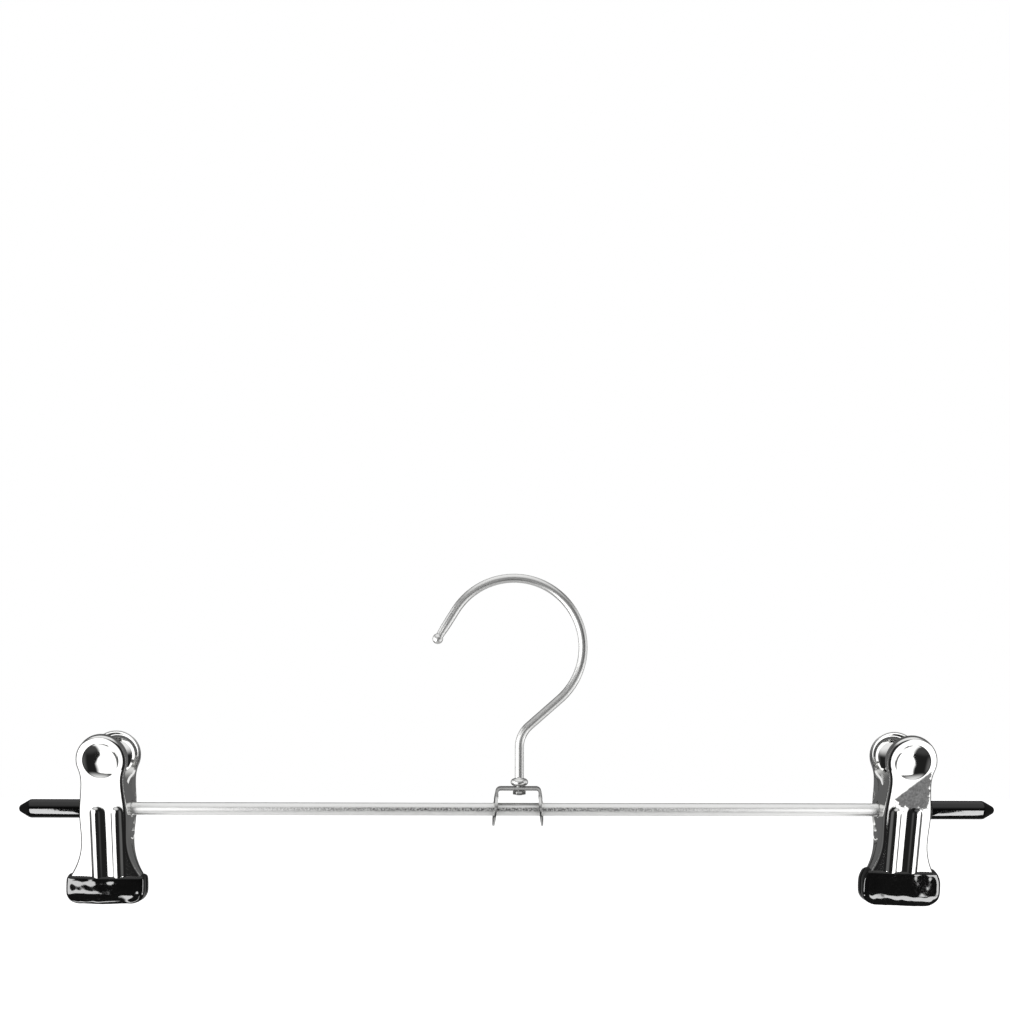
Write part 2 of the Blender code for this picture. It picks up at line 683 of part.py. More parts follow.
def least_gap(points, diameter):
    """The least gap between stretches of a wire that lie more than two diameters apart along it."""
    fine = []
    for a, b in zip(points, points[1:]):
        fine += [a.lerp(b, i / 4) for i in range(4)]
    along = [0.0]
    for a, b in zip(fine, fine[1:]):
        along.append(along[-1] + (b - a).length)
    pairs = ((p - q).length for i, p in enumerate(fine) for j, q in enumerate(fine[:i])
             if along[i] - along[j] > 3 * diameter)
    return min(pairs) - diameter


def build():
    clear_scene()
    chrome = material("clip_chrome", (0.78, 0.78, 0.77), 0.12, 1.0)
    zinc = material("galvanised_steel", (0.62, 0.62, 0.61), 0.38, 1.0)
    hook_steel = material("hook_steel", (0.66, 0.66, 0.65), 0.32, 1.0)
    bracket_steel = material("bracket_steel", (0.6, 0.6, 0.58), 0.35, 1.0)
    spring_steel = material("spring_steel", (0.5, 0.5, 0.5), 0.3, 1.0)
    grip_vinyl = material("grip_vinyl", (0.012, 0.012, 0.012), 0.18, 0.0)
    cap_vinyl = material("cap_vinyl", (0.012, 0.012, 0.012), 0.15, 0.0)

    swivel = add_empty("swivel_axis", (STEM_X, 0, BAR_Z))
    places, radii = hook()
    wire("hook_wire", places, radii, WIRE_RADIUS, WIRE_RESOLUTION, hook_steel, swivel, (0, 0, 0))
    add_object("hook_ferrule", smoothed(ferrule(), hook_steel), swivel)
    add_object("bracket", smoothed(bracket(), bracket_steel), swivel)

    middle = add_empty("bar_axis", (BAR_X - STEM_X, 0, 0), swivel)
    add_object("bar", smoothed(bar(), zinc), middle)
    cap = smoothed(end_cap(), cap_vinyl)
    add_object("right_end_cap", cap, middle)
    add_object("left_end_cap", cap, middle, rotation=(0, 0, math.pi))

    front_mesh = smoothed(plate(False), chrome)
    back_mesh = smoothed(plate(True), chrome)
    grip_mesh = smoothed(grip(), grip_vinyl)
    turns = spring_points()
    print(f"spring's least gap to itself: {least_gap(turns, SPRING_WIRE) * 1000:.2f} mm")

    for side, place in CLIP_PLACES.items():
        clip = add_empty(f"{side}_clip_axis", (place, 0, 0), middle)
        clip.rotation_euler = [math.radians(turn) for turn in CLIP_TURNS[side]]
        wire(f"{side}_spring", turns, [SPRING_WIRE / 2] * len(turns), SPRING_WIRE / 2, 1,
             spring_steel, clip, (0, 0, 0))
        for face, mesh, heading in (("front", front_mesh, 0.0), ("back", back_mesh, math.pi)):
            jaw = add_object(f"{side}_{face}_plate", mesh, clip, rotation=(TILT, 0, heading))
            add_object(f"{side}_{face}_grip", grip_mesh, jaw)


build()
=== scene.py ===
import json
import math

import bmesh
import bpy
from mathutils import Euler, Matrix, Vector, noise

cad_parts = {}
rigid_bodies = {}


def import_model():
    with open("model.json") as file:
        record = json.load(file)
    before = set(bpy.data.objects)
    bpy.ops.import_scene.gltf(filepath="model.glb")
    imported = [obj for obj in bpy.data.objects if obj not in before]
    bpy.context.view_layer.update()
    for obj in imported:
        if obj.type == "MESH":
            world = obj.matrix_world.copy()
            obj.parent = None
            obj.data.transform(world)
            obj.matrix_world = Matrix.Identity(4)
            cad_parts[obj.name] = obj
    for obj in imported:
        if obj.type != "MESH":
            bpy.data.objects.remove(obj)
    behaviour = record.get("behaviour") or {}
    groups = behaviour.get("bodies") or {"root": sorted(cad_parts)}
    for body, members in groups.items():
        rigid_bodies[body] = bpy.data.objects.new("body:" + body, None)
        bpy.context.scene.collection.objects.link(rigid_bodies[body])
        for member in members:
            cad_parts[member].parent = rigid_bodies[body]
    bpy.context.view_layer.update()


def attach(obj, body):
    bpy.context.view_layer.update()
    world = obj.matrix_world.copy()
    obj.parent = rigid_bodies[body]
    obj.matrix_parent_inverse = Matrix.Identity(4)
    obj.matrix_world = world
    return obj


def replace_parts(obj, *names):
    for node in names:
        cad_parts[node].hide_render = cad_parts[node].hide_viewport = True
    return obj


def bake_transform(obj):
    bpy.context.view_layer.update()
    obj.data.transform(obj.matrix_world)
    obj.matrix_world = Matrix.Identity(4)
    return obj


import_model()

ALONG, UP = Vector((1, 0, 0)), Vector((0, 0, 1))

# The hanger's sizes in metres and angles in degrees: the solids' own, but for the stem's bend,
# which is rounder here. Heights and depths count from the bar's axis.
BAR_Z = -0.0767
STEM_X = 0.0019
BAR_X = -0.0024
BAR_RADIUS = 0.0022
BAR_LENGTH = 0.3224
BAR_END_CHAMFER = 0.0004
OVERALL_LENGTH = 0.3300
GAP = 0.0003

CAP_LENGTH = 0.0218
CAP_RADIUS = 0.00315
CAP_NOSE_LENGTH = 0.0039
CAP_NOSE_RADIUS = 0.0015
CAP_NOSE_BLEND = 0.0006
CAP_MOUTH_ROUND = 0.00035
CAP_MOUTH_CHAMFER = 0.0002

WIRE_RADIUS = 0.0015
HOOK_RADIUS = 0.0234
HOOK_CENTRE_HEIGHT = 0.0548
HOOK_ARC_END = 148.0
HOOK_TIP_RUN = 0.0100
HOOK_BALL_RADIUS = 0.0018
HOOK_NECK_RADIUS = 0.0013
STEM_BEND_RADIUS = 0.0095
STEM_BEND_HEIGHT = 0.0210
STEM_FROM_HOOK_CENTRE = 0.0019
BEAD_RADIUS = 0.00295
BEAD_HEIGHT = 0.0026
SPIGOT_RADIUS = 0.0012
SPIGOT_END_LENGTH = 0.0002
SPIGOT_END_SHARE = 0.8

FERRULE_WIDTH = 0.0044
FERRULE_HEIGHT = 0.0013
FERRULE_ROUND = 0.00018
STRIP_THICKNESS = 0.0010
STRIP_EDGE_ROUND = 0.00016
BRACKET_SPAN = 0.0156
BRACKET_HEIGHT = 0.0076
BRACKET_BEND_RADIUS = 0.0018
BRACKET_FROM_STEM = -0.0003
LEG_WIDTH = 0.0066
LEG_UNTWIST_RUN = 0.0013
LEFT_LEG_SPLAY = 5.9
RIGHT_LEG_SPLAY = 3.9
LUG_RADIUS = 0.0056
LUG_TWIST = 3.0
LUG_THIN_FROM = 0.0036
LUG_THIN_RUN = 0.0020
LUG_EDGE_SHARE = 0.60

SHEET = 0.00075
SHEET_EDGE_ROUND = 0.00012
TILT = math.radians(12.5)
PIVOT_TO_FACE = 0.0084
EDGE_BEND_RADIUS = 0.0010
PAD_RADIUS = 0.0085
PAD_HEIGHT = 0.0192
PAD_FLANGE = 0.0030
WAIST_WIDTH = 0.0144
WAIST_HEIGHT = 0.0120
EAR_WIDTH = 0.0162
EAR_RADIUS = 0.0058
EAR_TOP_HEIGHT = 0.0132
EAR_FOOT_DEPTH = 0.0090
INNER_EAR_WIDTH = 0.0124
INNER_EAR_TOP_HEIGHT = 0.0102
INNER_EAR_FOOT_DEPTH = 0.0122
JOGGLE_DEPTH = 0.0026
EAR_HOLE_RADIUS = 0.0029
NECK_WIDTH = 0.0157
NECK_DEPTH = 0.0084
FLARE_RADIUS = 0.0226
SHOULDER_RADIUS = 0.0040
TIP_WIDTH = 0.0243
TIP_DEPTH = 0.0280
TIP_CORNER_RADIUS = 0.0030
DISH_RADIUS = 0.0060
DISH_DEPTH = 0.0017
DISH_RIM_BLEND = 0.00004
RIB_SPACING = 0.0068
RIB_RADIUS = 0.0022
RIB_RISE = 0.0011
RIB_TOP_HEIGHT = 0.0036
RIB_HOLLOW = 0.0010
RIB_SHIFTS = {"left": 0.0009, "right": -0.0004}
# The hollow with which the two ribs meet half way between them
VALLEY_HOLLOW = ((RIB_SPACING / 2) ** 2 - RIB_RADIUS**2
                 + (RIB_RADIUS - RIB_RISE) ** 2) / (2 * RIB_RISE)
# How fast the face falls back from its middle line, per metre, and where below the bar that sets in
FACE_CROWN = 2.6
FACE_CROWN_FROM = 0.001
FACE_CROWN_RUN = 0.006

GRIP_WALL = 0.00075
GRIP_FACE_WALL = 0.00042
GRIP_TOP_DEPTH = 0.0209
GRIP_CORNER_RADIUS = 0.0042
GRIP_CROWN = 3.2
GRIP_SWELL = 0.0011
GRIP_BORDER = 0.00028
GRIP_BORDER_WIDTH = 0.0007
GRIP_BORDER_INSET = 0.0013
# The right grips' border lies further in near their foot
RIGHT_GRIP_SAG = 0.0008
RIGHT_GRIP_SAG_HEIGHT = 0.004
# What shows of the plate's ribs through the vinyl
GRIP_RIB = 0.00022
GRIP_RIB_WIDTH = 0.0011
GRIP_RIB_REACH = 0.55
GRIP_RIPPLE = 0.00010
GRIP_FOOT_RIPPLE = 0.00014
# Each clip's grips: the top and foot of the vinyl, then how far down it is fullest, where it stops
# falling back below that, as shares of its height, and how far it falls back
GRIPS = {"left": (-0.0212, -0.0307, 0.60, 1.0, 0.0006),
         "right": (-0.0189, -0.0308, 0.70, 0.92, 0.0008)}
# Where in the noise each grip's skin is taken from
GRIP_SEEDS = {"left_front": 3.0, "right_front": 11.0, "left_back": 43.0, "right_back": 51.0}
JAW_FACE_GAP = 0.0003

SPRING_WIRE = 0.0012
SPRING_PITCH = 0.0017
SPRING_FULL_TURNS = 6
SPRING_LEG_REACH = 0.0130
SPRING_END_SHARE = 0.38

CLIP_PLACES = {"left": -0.1348, "right": 0.1336}
CLIP_TURNS = {"left": (0.0, 0.5, 0.0), "right": (0.0, 1.7, 2.5)}

# How finely the meshes are cut: the pad's spokes and rings, and the face's columns and rows. The
# pad's round passes into the face at this angle below the level of its middle.
PAD_JOIN_ANGLE = 22.5
SPOKES = 144
COLUMNS = 54
PAD_RINGS = (0.3, 0.8, 1.4, 2.0, 2.6, 3.2, 3.8, 4.4, 4.9, 5.3,
             5.6, 5.8, 5.9, 5.96, 6.02, 6.1, 6.2, 6.4, 6.8, 7.15)  # in millimetres
JOIN_ROWS = 8
FACE_ROWS_TOP = 0.0090
FACE_ROW_PITCH = 0.00045
FACE_ROWS = 71
CORNER_ROWS = 8
BEND_RINGS = 4
FLANGE_RINGS = 9
GRIP_CUTS = ((0, 44), (2, 18), (1, 7))

# The right front plate's painted reflection, a dark grey patch, in the plate's own frame: two
# # slanting edges, each how much of z and what else is added to x there, and where its outer and
# lower
# # edges fade
PATCH_SLANTS = ((-1.17, 0.0125), (1.3, -0.0027))
PATCH_OUTER_EDGE = (0.0062, 0.0072)
PATCH_LOWER_EDGE = (0.0026, 0.0034)
PATCH_RAGGEDNESS = 0.006
# The dark streak painted along the bar's front as a painted reflection of the dark room: its height
# # above the axis, and its middle's place
STREAK_HEIGHT = 0.00012
STREAK_MIDDLE = -0.0115

# Light from far off. A card: the way to it, half its width and the softness of its edge in degrees,
# and its brightness. Each lies over those before it.
ROOM_SHADE = 0.015
CARDS = [((0, -0.15, 1), 48, 18, 0.95), ((-1, -0.05, 0.05), 44, 12, 0.14),
         ((1, 0.35, 0.05), 55, 16, 0.14), ((0, 1, 0), 40, 16, 0.12),
         ((0, 1, -0.9), 26, 12, 0.50), ((0, 0, -1), 34, 16, 0.06)]

# Light from near. A softbox: the place it faces, its bearing in degrees and distance from there,
# its middle's height, its width and height, its brightness, the pieces it falls on, its inner edge.
# The inner edge: how high the lower part passes into the upper one, then where the light ends and
# where it is full, each low down and high up, as shares of the softbox. A light in another's plane
# can be hidden by it, so some stand a little off.
LEFT_SIDE = ((-0.137, -0.012), -42)
RIGHT_SIDE = ((0.131, -0.012), 46)
MIDDLE = (0.0, 0.0)
GROUND_EDGE = ((0.5, 1.0), (0.54, 0.76), (0.44, 0.66))
BAR_EDGE = ((0.0, 1.0), (1.15, 1.15), (0.51, 0.51))
LOW_BAR_EDGE = ((0.0, 1.0), (1.0, 1.0), (0.6, 0.6))
SOFTBOXES = {
    "left_softbox": (*LEFT_SIDE, 0.28, -0.18, 0.72, 0.47, 1.6, "left",
        ((0.3, 0.46), (0.712, 0.94), (0.702, 0.72))),
    "right_softbox": (*RIGHT_SIDE, 0.28, -0.18, 0.72, 0.47, 1.6, "right",
        ((0.31, 0.46), (0.708, 0.82), (0.698, 0.72))),
    "left_ground_light": (*LEFT_SIDE, 0.0, -0.416, 0.72, 0.56, 1.2, "left_plates", GROUND_EDGE),
    "right_ground_light": (*RIGHT_SIDE, 0.0, -0.416, 0.72, 0.56, 1.2, "right_plates", GROUND_EDGE),
    "left_grip_light": (*LEFT_SIDE, 0.28, -0.158, 0.72, 0.256, 14.0, "grips",
        ((0.36, 0.62), (0.7, 0.63), (0.68, 0.61))),
    "right_grip_light": (*RIGHT_SIDE, 0.28, -0.158, 0.72, 0.256, 14.0, "grips",
        ((0.35, 0.75), (0.615, 0.65), (0.6, 0.635))),
    "left_lip_light": (*LEFT_SIDE, 0.28, -0.6, 0.72, 0.16, 14.0, "grips",
        ((0.0, 1.0), (0.86, 0.86), (0.72, 0.72))),
    "right_lip_light": (*RIGHT_SIDE, 0.28, -0.425, 0.72, 0.22, 14.0, "grips",
        ((0.0, 1.0), (0.82, 0.82), (0.76, 0.76))),
    "left_bracket_light": (MIDDLE, -80, 0.7, -0.05, 0.9, 0.7, 0.45, "bracket"),
    "left_bar_light": (*LEFT_SIDE, 0.28, -0.122, 0.72, 0.355, 1.7, "bar", BAR_EDGE),
    "right_bar_light": (*RIGHT_SIDE, 0.28, -0.122, 0.72, 0.355, 2.0, "bar", BAR_EDGE),
    "left_cap_light": ((-0.157, -0.003), -22.6, 0.13, -0.231, 0.04, 0.3, 16.0, "caps"),
    "right_cap_light": ((0.152, -0.003), 22.6, 0.13, -0.231, 0.04, 0.3, 16.0, "caps"),
    "under_fill": (MIDDLE, 0, 0.0, -0.5, 1.2, 0.7, 0.45, "wires"),
    "front_fill": (MIDDLE, 0, 1.0, -0.02, 0.5, 0.5, 0.6, "middle"),
    "hook_front_fill": (MIDDLE, 0, 1.0, -0.02, 0.9, 0.9, 0.22, "hook"),
    "bar_front_fill": (MIDDLE, 0, 1.0, -0.08, 1.4, 0.7, 0.28, "bar"),
    "bar_under_fill": (MIDDLE, 0, 0.0, -0.5, 1.2, 0.7, 0.5, "bar"),
    "left_bar_ground_light": ((-0.3, -0.15), -1, 0.0, -0.47, 0.6, 1.0, 0.5, "bar", LOW_BAR_EDGE),
    "right_bar_ground_light": ((0.3, -0.15), 1, 0.0, -0.47, 0.6, 1.0, 0.6, "bar", LOW_BAR_EDGE),
    "bracket_under_fill": (MIDDLE, 0, 0.0, -0.48, 1.2, 0.7, 0.45, "bracket"),
    "left_fill": (MIDDLE, -95, 0.7, 0.0, 0.9, 0.9, 1.0, "hook"),
    "left_bar_fill": (MIDDLE, -95, 0.69, 0.0, 0.9, 0.9, 0.55, "bar"),
    "left_low_fill": (MIDDLE, -65, 0.55, -0.4, 0.9, 0.42, 0.95, "hook"),
    "right_low_fill": (MIDDLE, 65, 0.55, -0.4, 0.9, 0.42, 0.85, "hook"),
    "right_fill": (MIDDLE, 95, 0.7, 0.0, 0.9, 0.9, 0.7, "hook"),
}
# The pieces that a light falls on, by how their names begin
LEFT_PLATES = ("left_front_plate", "left_back_plate", "left_spring")
RIGHT_PLATES = ("right_front_plate", "right_back_plate", "right_spring")
LIT_PIECES = {
    "left": (*LEFT_PLATES, "hook"),
    "right": RIGHT_PLATES,
    "left_plates": LEFT_PLATES,
    "right_plates": RIGHT_PLATES,
    "grips": ("left_front_grip", "right_front_grip"),
    "caps": ("left_end_cap", "right_end_cap"),
    "bar": ("bar_fine",),
    "hook": ("hook_wire",),
    "bracket": ("bracket",),
    "middle": ("bracket", "hook_ferrule"),
    "wires": ("hook", "bar_fine"),
}
# Where the outer end of a light with an edge fades, as shares of its width, by what it falls on
OUTER_ENDS = {"left": (0.18, 0.28), "right": (0.18, 0.28), "grips": (0.34, 0.42)}

FLOOR_HEIGHT = -0.62
FLOOR_HALF_WIDTH = 6.0
CAMERA_PLACE = (-0.0027, -0.600, -0.0185)
CAMERA_ROLL = -0.11
CAMERA_LENS = 63.17
CAMERA_SENSOR = 36.0
CAMERA_SHIFT = (-0.001, 0.131)


# Meshes

def mesh_from(name, bm):
    mesh = bpy.data.meshes.new(name)
    bm.to_mesh(mesh)
    bm.free()
    return mesh


def placed(name, data):
    """An object of the scene with this data."""
    thing = bpy.data.objects.new(name, data)
    bpy.context.scene.collection.objects.link(thing)
    return thing


def finished(name, bm, surface, body, smooth_angle=40):
    """Makes a piece from a bmesh in the row's frame, and lets it ride on its body."""
    return dressed(name, mesh_from(name, bm), surface, body, smooth_angle)


def dressed(name, mesh, surface, body, smooth_angle=40):
    """Makes a piece from a mesh. Edges bent by more than smooth_angle degrees stay sharp."""
    mesh.materials.clear()
    mesh.materials.append(surface)
    mesh.shade_smooth()
    mesh.set_sharp_from_angle(angle=math.radians(smooth_angle))
    piece = placed(name, mesh)
    if body:
        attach(piece, body)
    return piece


def baked(name, bm, modifiers, cutters, weights=None):
    """The mesh that a bmesh becomes once its modifiers have run. The helpers are then removed."""
    helper = placed(name, mesh_from(name, bm))
    if weights:
        helper.vertex_groups.new(name=weights)
    for kind, settings in modifiers:
        modifier = helper.modifiers.new(kind.lower(), kind)
        for key, value in settings.items():
            setattr(modifier, key, value)
    graph = bpy.context.evaluated_depsgraph_get()
    result = bpy.data.meshes.new_from_object(helper.evaluated_get(graph))
    result.validate(clean_customdata=False)
    for thing in [helper, *cutters]:
        bpy.data.objects.remove(thing)
    return result


def drill(axis, radius, reach, place=(0, 0, 0)):
    """A round cutter through a place, reaching as far both ways. It is removed by baked."""
    bm = spun([(-reach, 0), (-reach, radius), (reach, radius), (reach, 0)], axis, 48)
    cutter = placed("drill", mesh_from("drill", bm))
    cutter.location = place
    return cutter


def hole(cutter):
    return "BOOLEAN", {"operation": "DIFFERENCE", "solver": "EXACT", "object": cutter}


def edge_round(width, segments, angle):
    return "BEVEL", {"width": width, "segments": segments, "limit_method": "ANGLE",
                     "angle_limit": math.radians(angle)}


def arc(centre_x, centre_z, radius, start, end, steps):
    """Points on an arc between two angles in degrees, ends included."""
    turns = [math.radians(start + (end - start) * i / steps) for i in range(steps + 1)]
    return [(centre_x + radius * math.cos(a), centre_z + radius * math.sin(a)) for a in turns]


def ease(start, end, share):
    """From start to end as share goes from 0 to 1, with a soft beginning and end."""
    share = min(1.0, max(0.0, share))
    return start + (end - start) * share * share * (3 - 2 * share)


def soft_max(value, blend):
    """The larger of value and zero, with the corner between them rounded off."""
    return (value + math.sqrt(value * value + 4 * blend * blend)) / 2


def extruded(bm, rim):
    """Extrudes a chain or loop of edges once and returns the new one."""
    made = bmesh.ops.extrude_edge_only(bm, edges=rim)["geom"]
    fresh = {v for v in made if isinstance(v, bmesh.types.BMVert)}
    return [e for e in made if isinstance(e, bmesh.types.BMEdge)
            and len(e.link_faces) == 1 and fresh.issuperset(e.verts)]


def rim_verts(rim):
    return {v for e in rim for v in e.verts}


def numbered(bm):
    """Numbers a first rim's points. Those that are extruded from them keep their numbers."""
    number = bm.verts.layers.int.new("number")
    for i, vert in enumerate(bm.verts):
        vert[number] = i
    return number


def spun(profile, axis, steps=72):
    """A closed round body from (along, radius) points that start and end on the axis."""
    side = UP if axis.x else ALONG
    bm = bmesh.new()
    verts = [bm.verts.new(axis * along + side * radius) for along, radius in profile]
    for a, b in zip(verts, verts[1:]):
        bm.edges.new((a, b))
    bmesh.ops.spin(bm, geom=bm.verts[:] + bm.edges[:], cent=(0, 0, 0), axis=axis,
                   angle=2 * math.pi, steps=steps, use_merge=True)
    bmesh.ops.remove_doubles(bm, verts=bm.verts, dist=0.000001)
    bmesh.ops.recalc_face_normals(bm, faces=bm.faces)
    return bm


def swept_wire(places, radii, sides):
    """A round wire through places. Its attribute along_wire holds a place as on a straight wire."""
    bm = bmesh.new()
    bmesh.ops.create_circle(bm, segments=sides, radius=1.0)
    number = numbered(bm)
    straight = bm.verts.layers.float_vector.new("along_wire")
    rim = first = bm.edges[:]
    side = None
    along = 0.0
    for k, (place, radius) in enumerate(zip(places, radii)):
        ahead = (places[min(k + 1, len(places) - 1)] - places[max(k - 1, 0)]).normalized()
        if side is None:
            side = Vector((0, 1, 0)) if abs(ahead.y) < 0.7 else UP
        side = (side - ahead * side.dot(ahead)).normalized()
        up = ahead.cross(side)
        if k:
            rim = extruded(bm, rim)
            along += (place - places[k - 1]).length
        for vert in rim_verts(rim):
            turn = 2 * math.pi * vert[number] / sides
            vert.co = place + (side * math.cos(turn) + up * math.sin(turn)) * radius
            vert[straight] = (math.cos(turn) * radius, math.sin(turn) * radius, along)
    bmesh.ops.contextual_create(bm, geom=first)
    bmesh.ops.contextual_create(bm, geom=rim)
    bmesh.ops.recalc_face_normals(bm, faces=bm.faces)
    return bm


# Nodes of materials, lights and the world

def node(tree, kind, inputs, **settings):
    """A new node. Its inputs, by name or number, take other nodes' outputs or plain values."""
    made = tree.nodes.new(kind)
    for key, value in settings.items():
        setattr(made, key, value)
    for key, value in inputs.items():
        if isinstance(value, bpy.types.NodeSocket):
            tree.links.new(value, made.inputs[key])
        elif value is not None:
            made.inputs[key].default_value = value
    return made


def maths(tree, operation, a, b=None):
    return node(tree, "ShaderNodeMath", {0: a, 1: b}, operation=operation).outputs["Value"]


def ramp(tree, value, low, high, to_low=0.0, to_high=1.0, kind="SMOOTHSTEP"):
    """A value that goes from to_low to to_high as another goes from low to high."""
    inputs = dict(enumerate((value, low, high, to_low, to_high)))
    return node(tree, "ShaderNodeMapRange", inputs, interpolation_type=kind).outputs["Result"]


class Finish:
    """A material in the making, laid out by a mesh attribute or else by the object's own space."""

    def __init__(self, name, attribute=None, metallic=1.0):
        self.material = bpy.data.materials.new(name)
        self.material.use_nodes = True
        self.tree = self.material.node_tree
        self.shader = self.tree.nodes["Principled BSDF"].inputs
        self.shader["Metallic"].default_value = metallic
        if attribute:
            source = node(self.tree, "ShaderNodeAttribute", {}, attribute_name=attribute)
            self.place = source.outputs["Vector"]
        else:
            self.place = node(self.tree, "ShaderNodeTexCoord", {}).outputs["Object"]

    def noise(self, scale, size=(1, 1, 1), detail=3.0, roughness=0.5):
        mapping = node(self.tree, "ShaderNodeMapping", {"Vector": self.place, "Scale": size})
        inputs = {"Vector": mapping.outputs[0], "Scale": scale, "Detail": detail,
                  "Roughness": roughness}
        return node(self.tree, "ShaderNodeTexNoise", inputs).outputs["Fac"]

    def parts(self):
        return node(self.tree, "ShaderNodeSeparateXYZ", {"Vector": self.place}).outputs

    def remap(self, value, low, high, to_low=0.0, to_high=1.0):
        return ramp(self.tree, value, low, high, to_low, to_high)

    def plus(self, a, b):
        return maths(self.tree, "ADD", a, b)

    def times(self, a, b):
        return maths(self.tree, "MULTIPLY", a, b)

    def size(self, value):
        """How far a value is from zero."""
        return maths(self.tree, "ABSOLUTE", value)

    def blended(self, share, low, high):
        """A colour between low and high, each a colour or another node's output."""
        low, high = [(*end, 1.0) if isinstance(end, tuple) else end for end in (low, high)]
        inputs = {0: share, 6: low, 7: high}
        return node(self.tree, "ShaderNodeMix", inputs, data_type="RGBA").outputs[2]

    def colour(self, share, low, high):
        self.tree.links.new(self.blended(share, low, high), self.shader["Base Color"])

    def roughness(self, output):
        self.tree.links.new(output, self.shader["Roughness"])

    def bump(self, height, strength, distance):
        """Adds relief on top of any that is there already."""
        inputs = {"Strength": strength, "Distance": distance, "Height": height}
        relief = node(self.tree, "ShaderNodeBump", inputs)
        for link in list(self.shader["Normal"].links):
            self.tree.links.new(link.from_socket, relief.inputs["Normal"])
        self.tree.links.new(relief.outputs["Normal"], self.shader["Normal"])


# Finishes

def chrome_finish(name, painted_reflection_patch=False):
    """Bright chrome. The patch is a painted reflection: dark grey painted on the right front plate,
    below and outwards of its dish.
    """
    made = Finish(name, "on_plate")
    cloud = made.noise(90.0, detail=2.0)
    grain = made.noise(2600.0, detail=2.0)
    look = [cloud, (0.80, 0.80, 0.79), (0.90, 0.90, 0.89)]
    if painted_reflection_patch:
        x, _, z = made.parts()
        ragged = made.times(made.plus(made.noise(600.0, detail=4.0), -0.5), PATCH_RAGGEDNESS)
        x, z = made.plus(x, ragged), made.plus(z, ragged)
        mask = made.remap(x, *PATCH_OUTER_EDGE, 1.0, 0.0)
        for slope, offset in PATCH_SLANTS:
            past_edge = made.plus(made.plus(x, made.times(z, slope)), offset)
            mask = made.times(mask, made.remap(past_edge, -0.0004, 0.0006))
        mask = made.times(mask, made.remap(z, *PATCH_LOWER_EDGE))
        # Painted reflection: dark grey in the chrome's colour, standing in for a dark reflection
        grey = made.blended(made.noise(1500.0), (0.03, 0.03, 0.03), (0.20, 0.20, 0.20))
        look = [mask, made.blended(*look), grey]
    made.colour(*look)
    made.roughness(made.remap(made.plus(cloud, made.times(grain, 0.3)), 0.3, 1.0, 0.05, 0.10))
    made.bump(cloud, 0.10, 0.0006)
    return made.material


def hook_finish():
    """Dull zinc on wire, with streaks along it."""
    made = Finish("hook_steel", "along_wire")
    streaks = made.noise(1800.0, size=(1, 1, 0.02))
    cloud = made.noise(220.0, size=(1, 1, 0.25), detail=2.0)
    made.colour(streaks, (0.74, 0.74, 0.73), (0.92, 0.92, 0.91))
    made.roughness(made.remap(cloud, 0.3, 0.7, 0.26, 0.36))
    made.bump(streaks, 0.12, 0.00004)
    return made.material


def bar_finish():
    """Galvanised rod, glossier towards its ends, with a dark speckled streak painted along its
    front: a painted reflection.
    """
    made = Finish("bar_zinc")
    x, y, z = made.parts()
    grain = made.noise(1500.0, size=(0.3, 1, 1), detail=4.0, roughness=0.7)
    spots = made.noise(1900.0, detail=4.0, roughness=0.65)
    # Painted reflection: a dark band on the front at about the axis' height, fading towards the
    # ends
    streak = made.remap(made.size(made.plus(z, -STREAK_HEIGHT - BAR_Z)), 0.00025, 0.00092, 1.0, 0.0)
    front = made.remap(y, -0.0008, 0.0, 1.0, 0.0)
    from_middle = made.size(made.plus(x, -STREAK_MIDDLE))
    middle = made.remap(from_middle, 0.020, 0.110, 1.0, 0.0)
    # Speckle from the zinc's spangle, which breaks up the painted reflection
    spangle_speckle = made.remap(spots, 0.40, 0.60, 0.25, 1.0)
    mask = made.times(made.times(streak, front), made.times(middle, spangle_speckle))
    zinc = made.blended(grain, (0.78, 0.78, 0.77), (0.95, 0.95, 0.94))
    made.colour(mask, zinc, (0.10, 0.10, 0.10))
    polish = made.remap(from_middle, 0.03, 0.11, 1.0, 0.78)
    made.roughness(made.times(made.remap(grain, 0.3, 0.7, 0.38, 0.52), polish))
    made.bump(grain, 0.15, 0.00005)
    return made.material


def strip_finish():
    """Dull zinc on the bracket's strip and the ferrule."""
    made = Finish("bracket_steel")
    grain = made.noise(900.0, detail=4.0, roughness=0.6)
    made.colour(grain, (0.55, 0.55, 0.54), (0.78, 0.78, 0.77))
    made.roughness(made.remap(grain, 0.3, 0.7, 0.18, 0.32))
    made.bump(grain, 0.2, 0.00006)
    return made.material


def spring_finish():
    """Plain spring wire, drawn smooth."""
    made = Finish("spring_steel", "along_wire")
    streaks = made.noise(2500.0, size=(1, 1, 0.03), detail=2.0)
    made.colour(streaks, (0.42, 0.42, 0.42), (0.62, 0.62, 0.61))
    made.roughness(made.remap(streaks, 0.3, 0.7, 0.2, 0.34))
    made.bump(streaks, 0.1, 0.00003)
    return made.material


def vinyl_finish(name, wave):
    """Glossy black vinyl, whose skin waves more or less strongly."""
    made = Finish(name, metallic=0.0)
    ripple = made.noise(170.0, detail=2.0)
    fine = made.noise(1400.0, detail=2.0)
    made.colour(ripple, (0.0010, 0.0010, 0.0010), (0.0025, 0.0025, 0.0025))
    made.roughness(made.remap(fine, 0.3, 0.7, 0.05, 0.10))
    made.bump(ripple, wave, 0.0008)
    made.bump(fine, 0.08, 0.00004)
    return made.material


CHROME = chrome_finish("bright_chrome")
# Chrome with a dark grey painted reflection patch on it
CHROME_PAINTED_REFLECTION = chrome_finish("worn_chrome", painted_reflection_patch=True)
HOOK_STEEL = hook_finish()
ZINC = bar_finish()
STRIP_STEEL = strip_finish()
SPRING_STEEL = spring_finish()
GRIP_VINYL = vinyl_finish("grip_vinyl", 0.15)
CAP_VINYL = vinyl_finish("cap_vinyl", 0.06)


# Hook and what hangs on its spigot

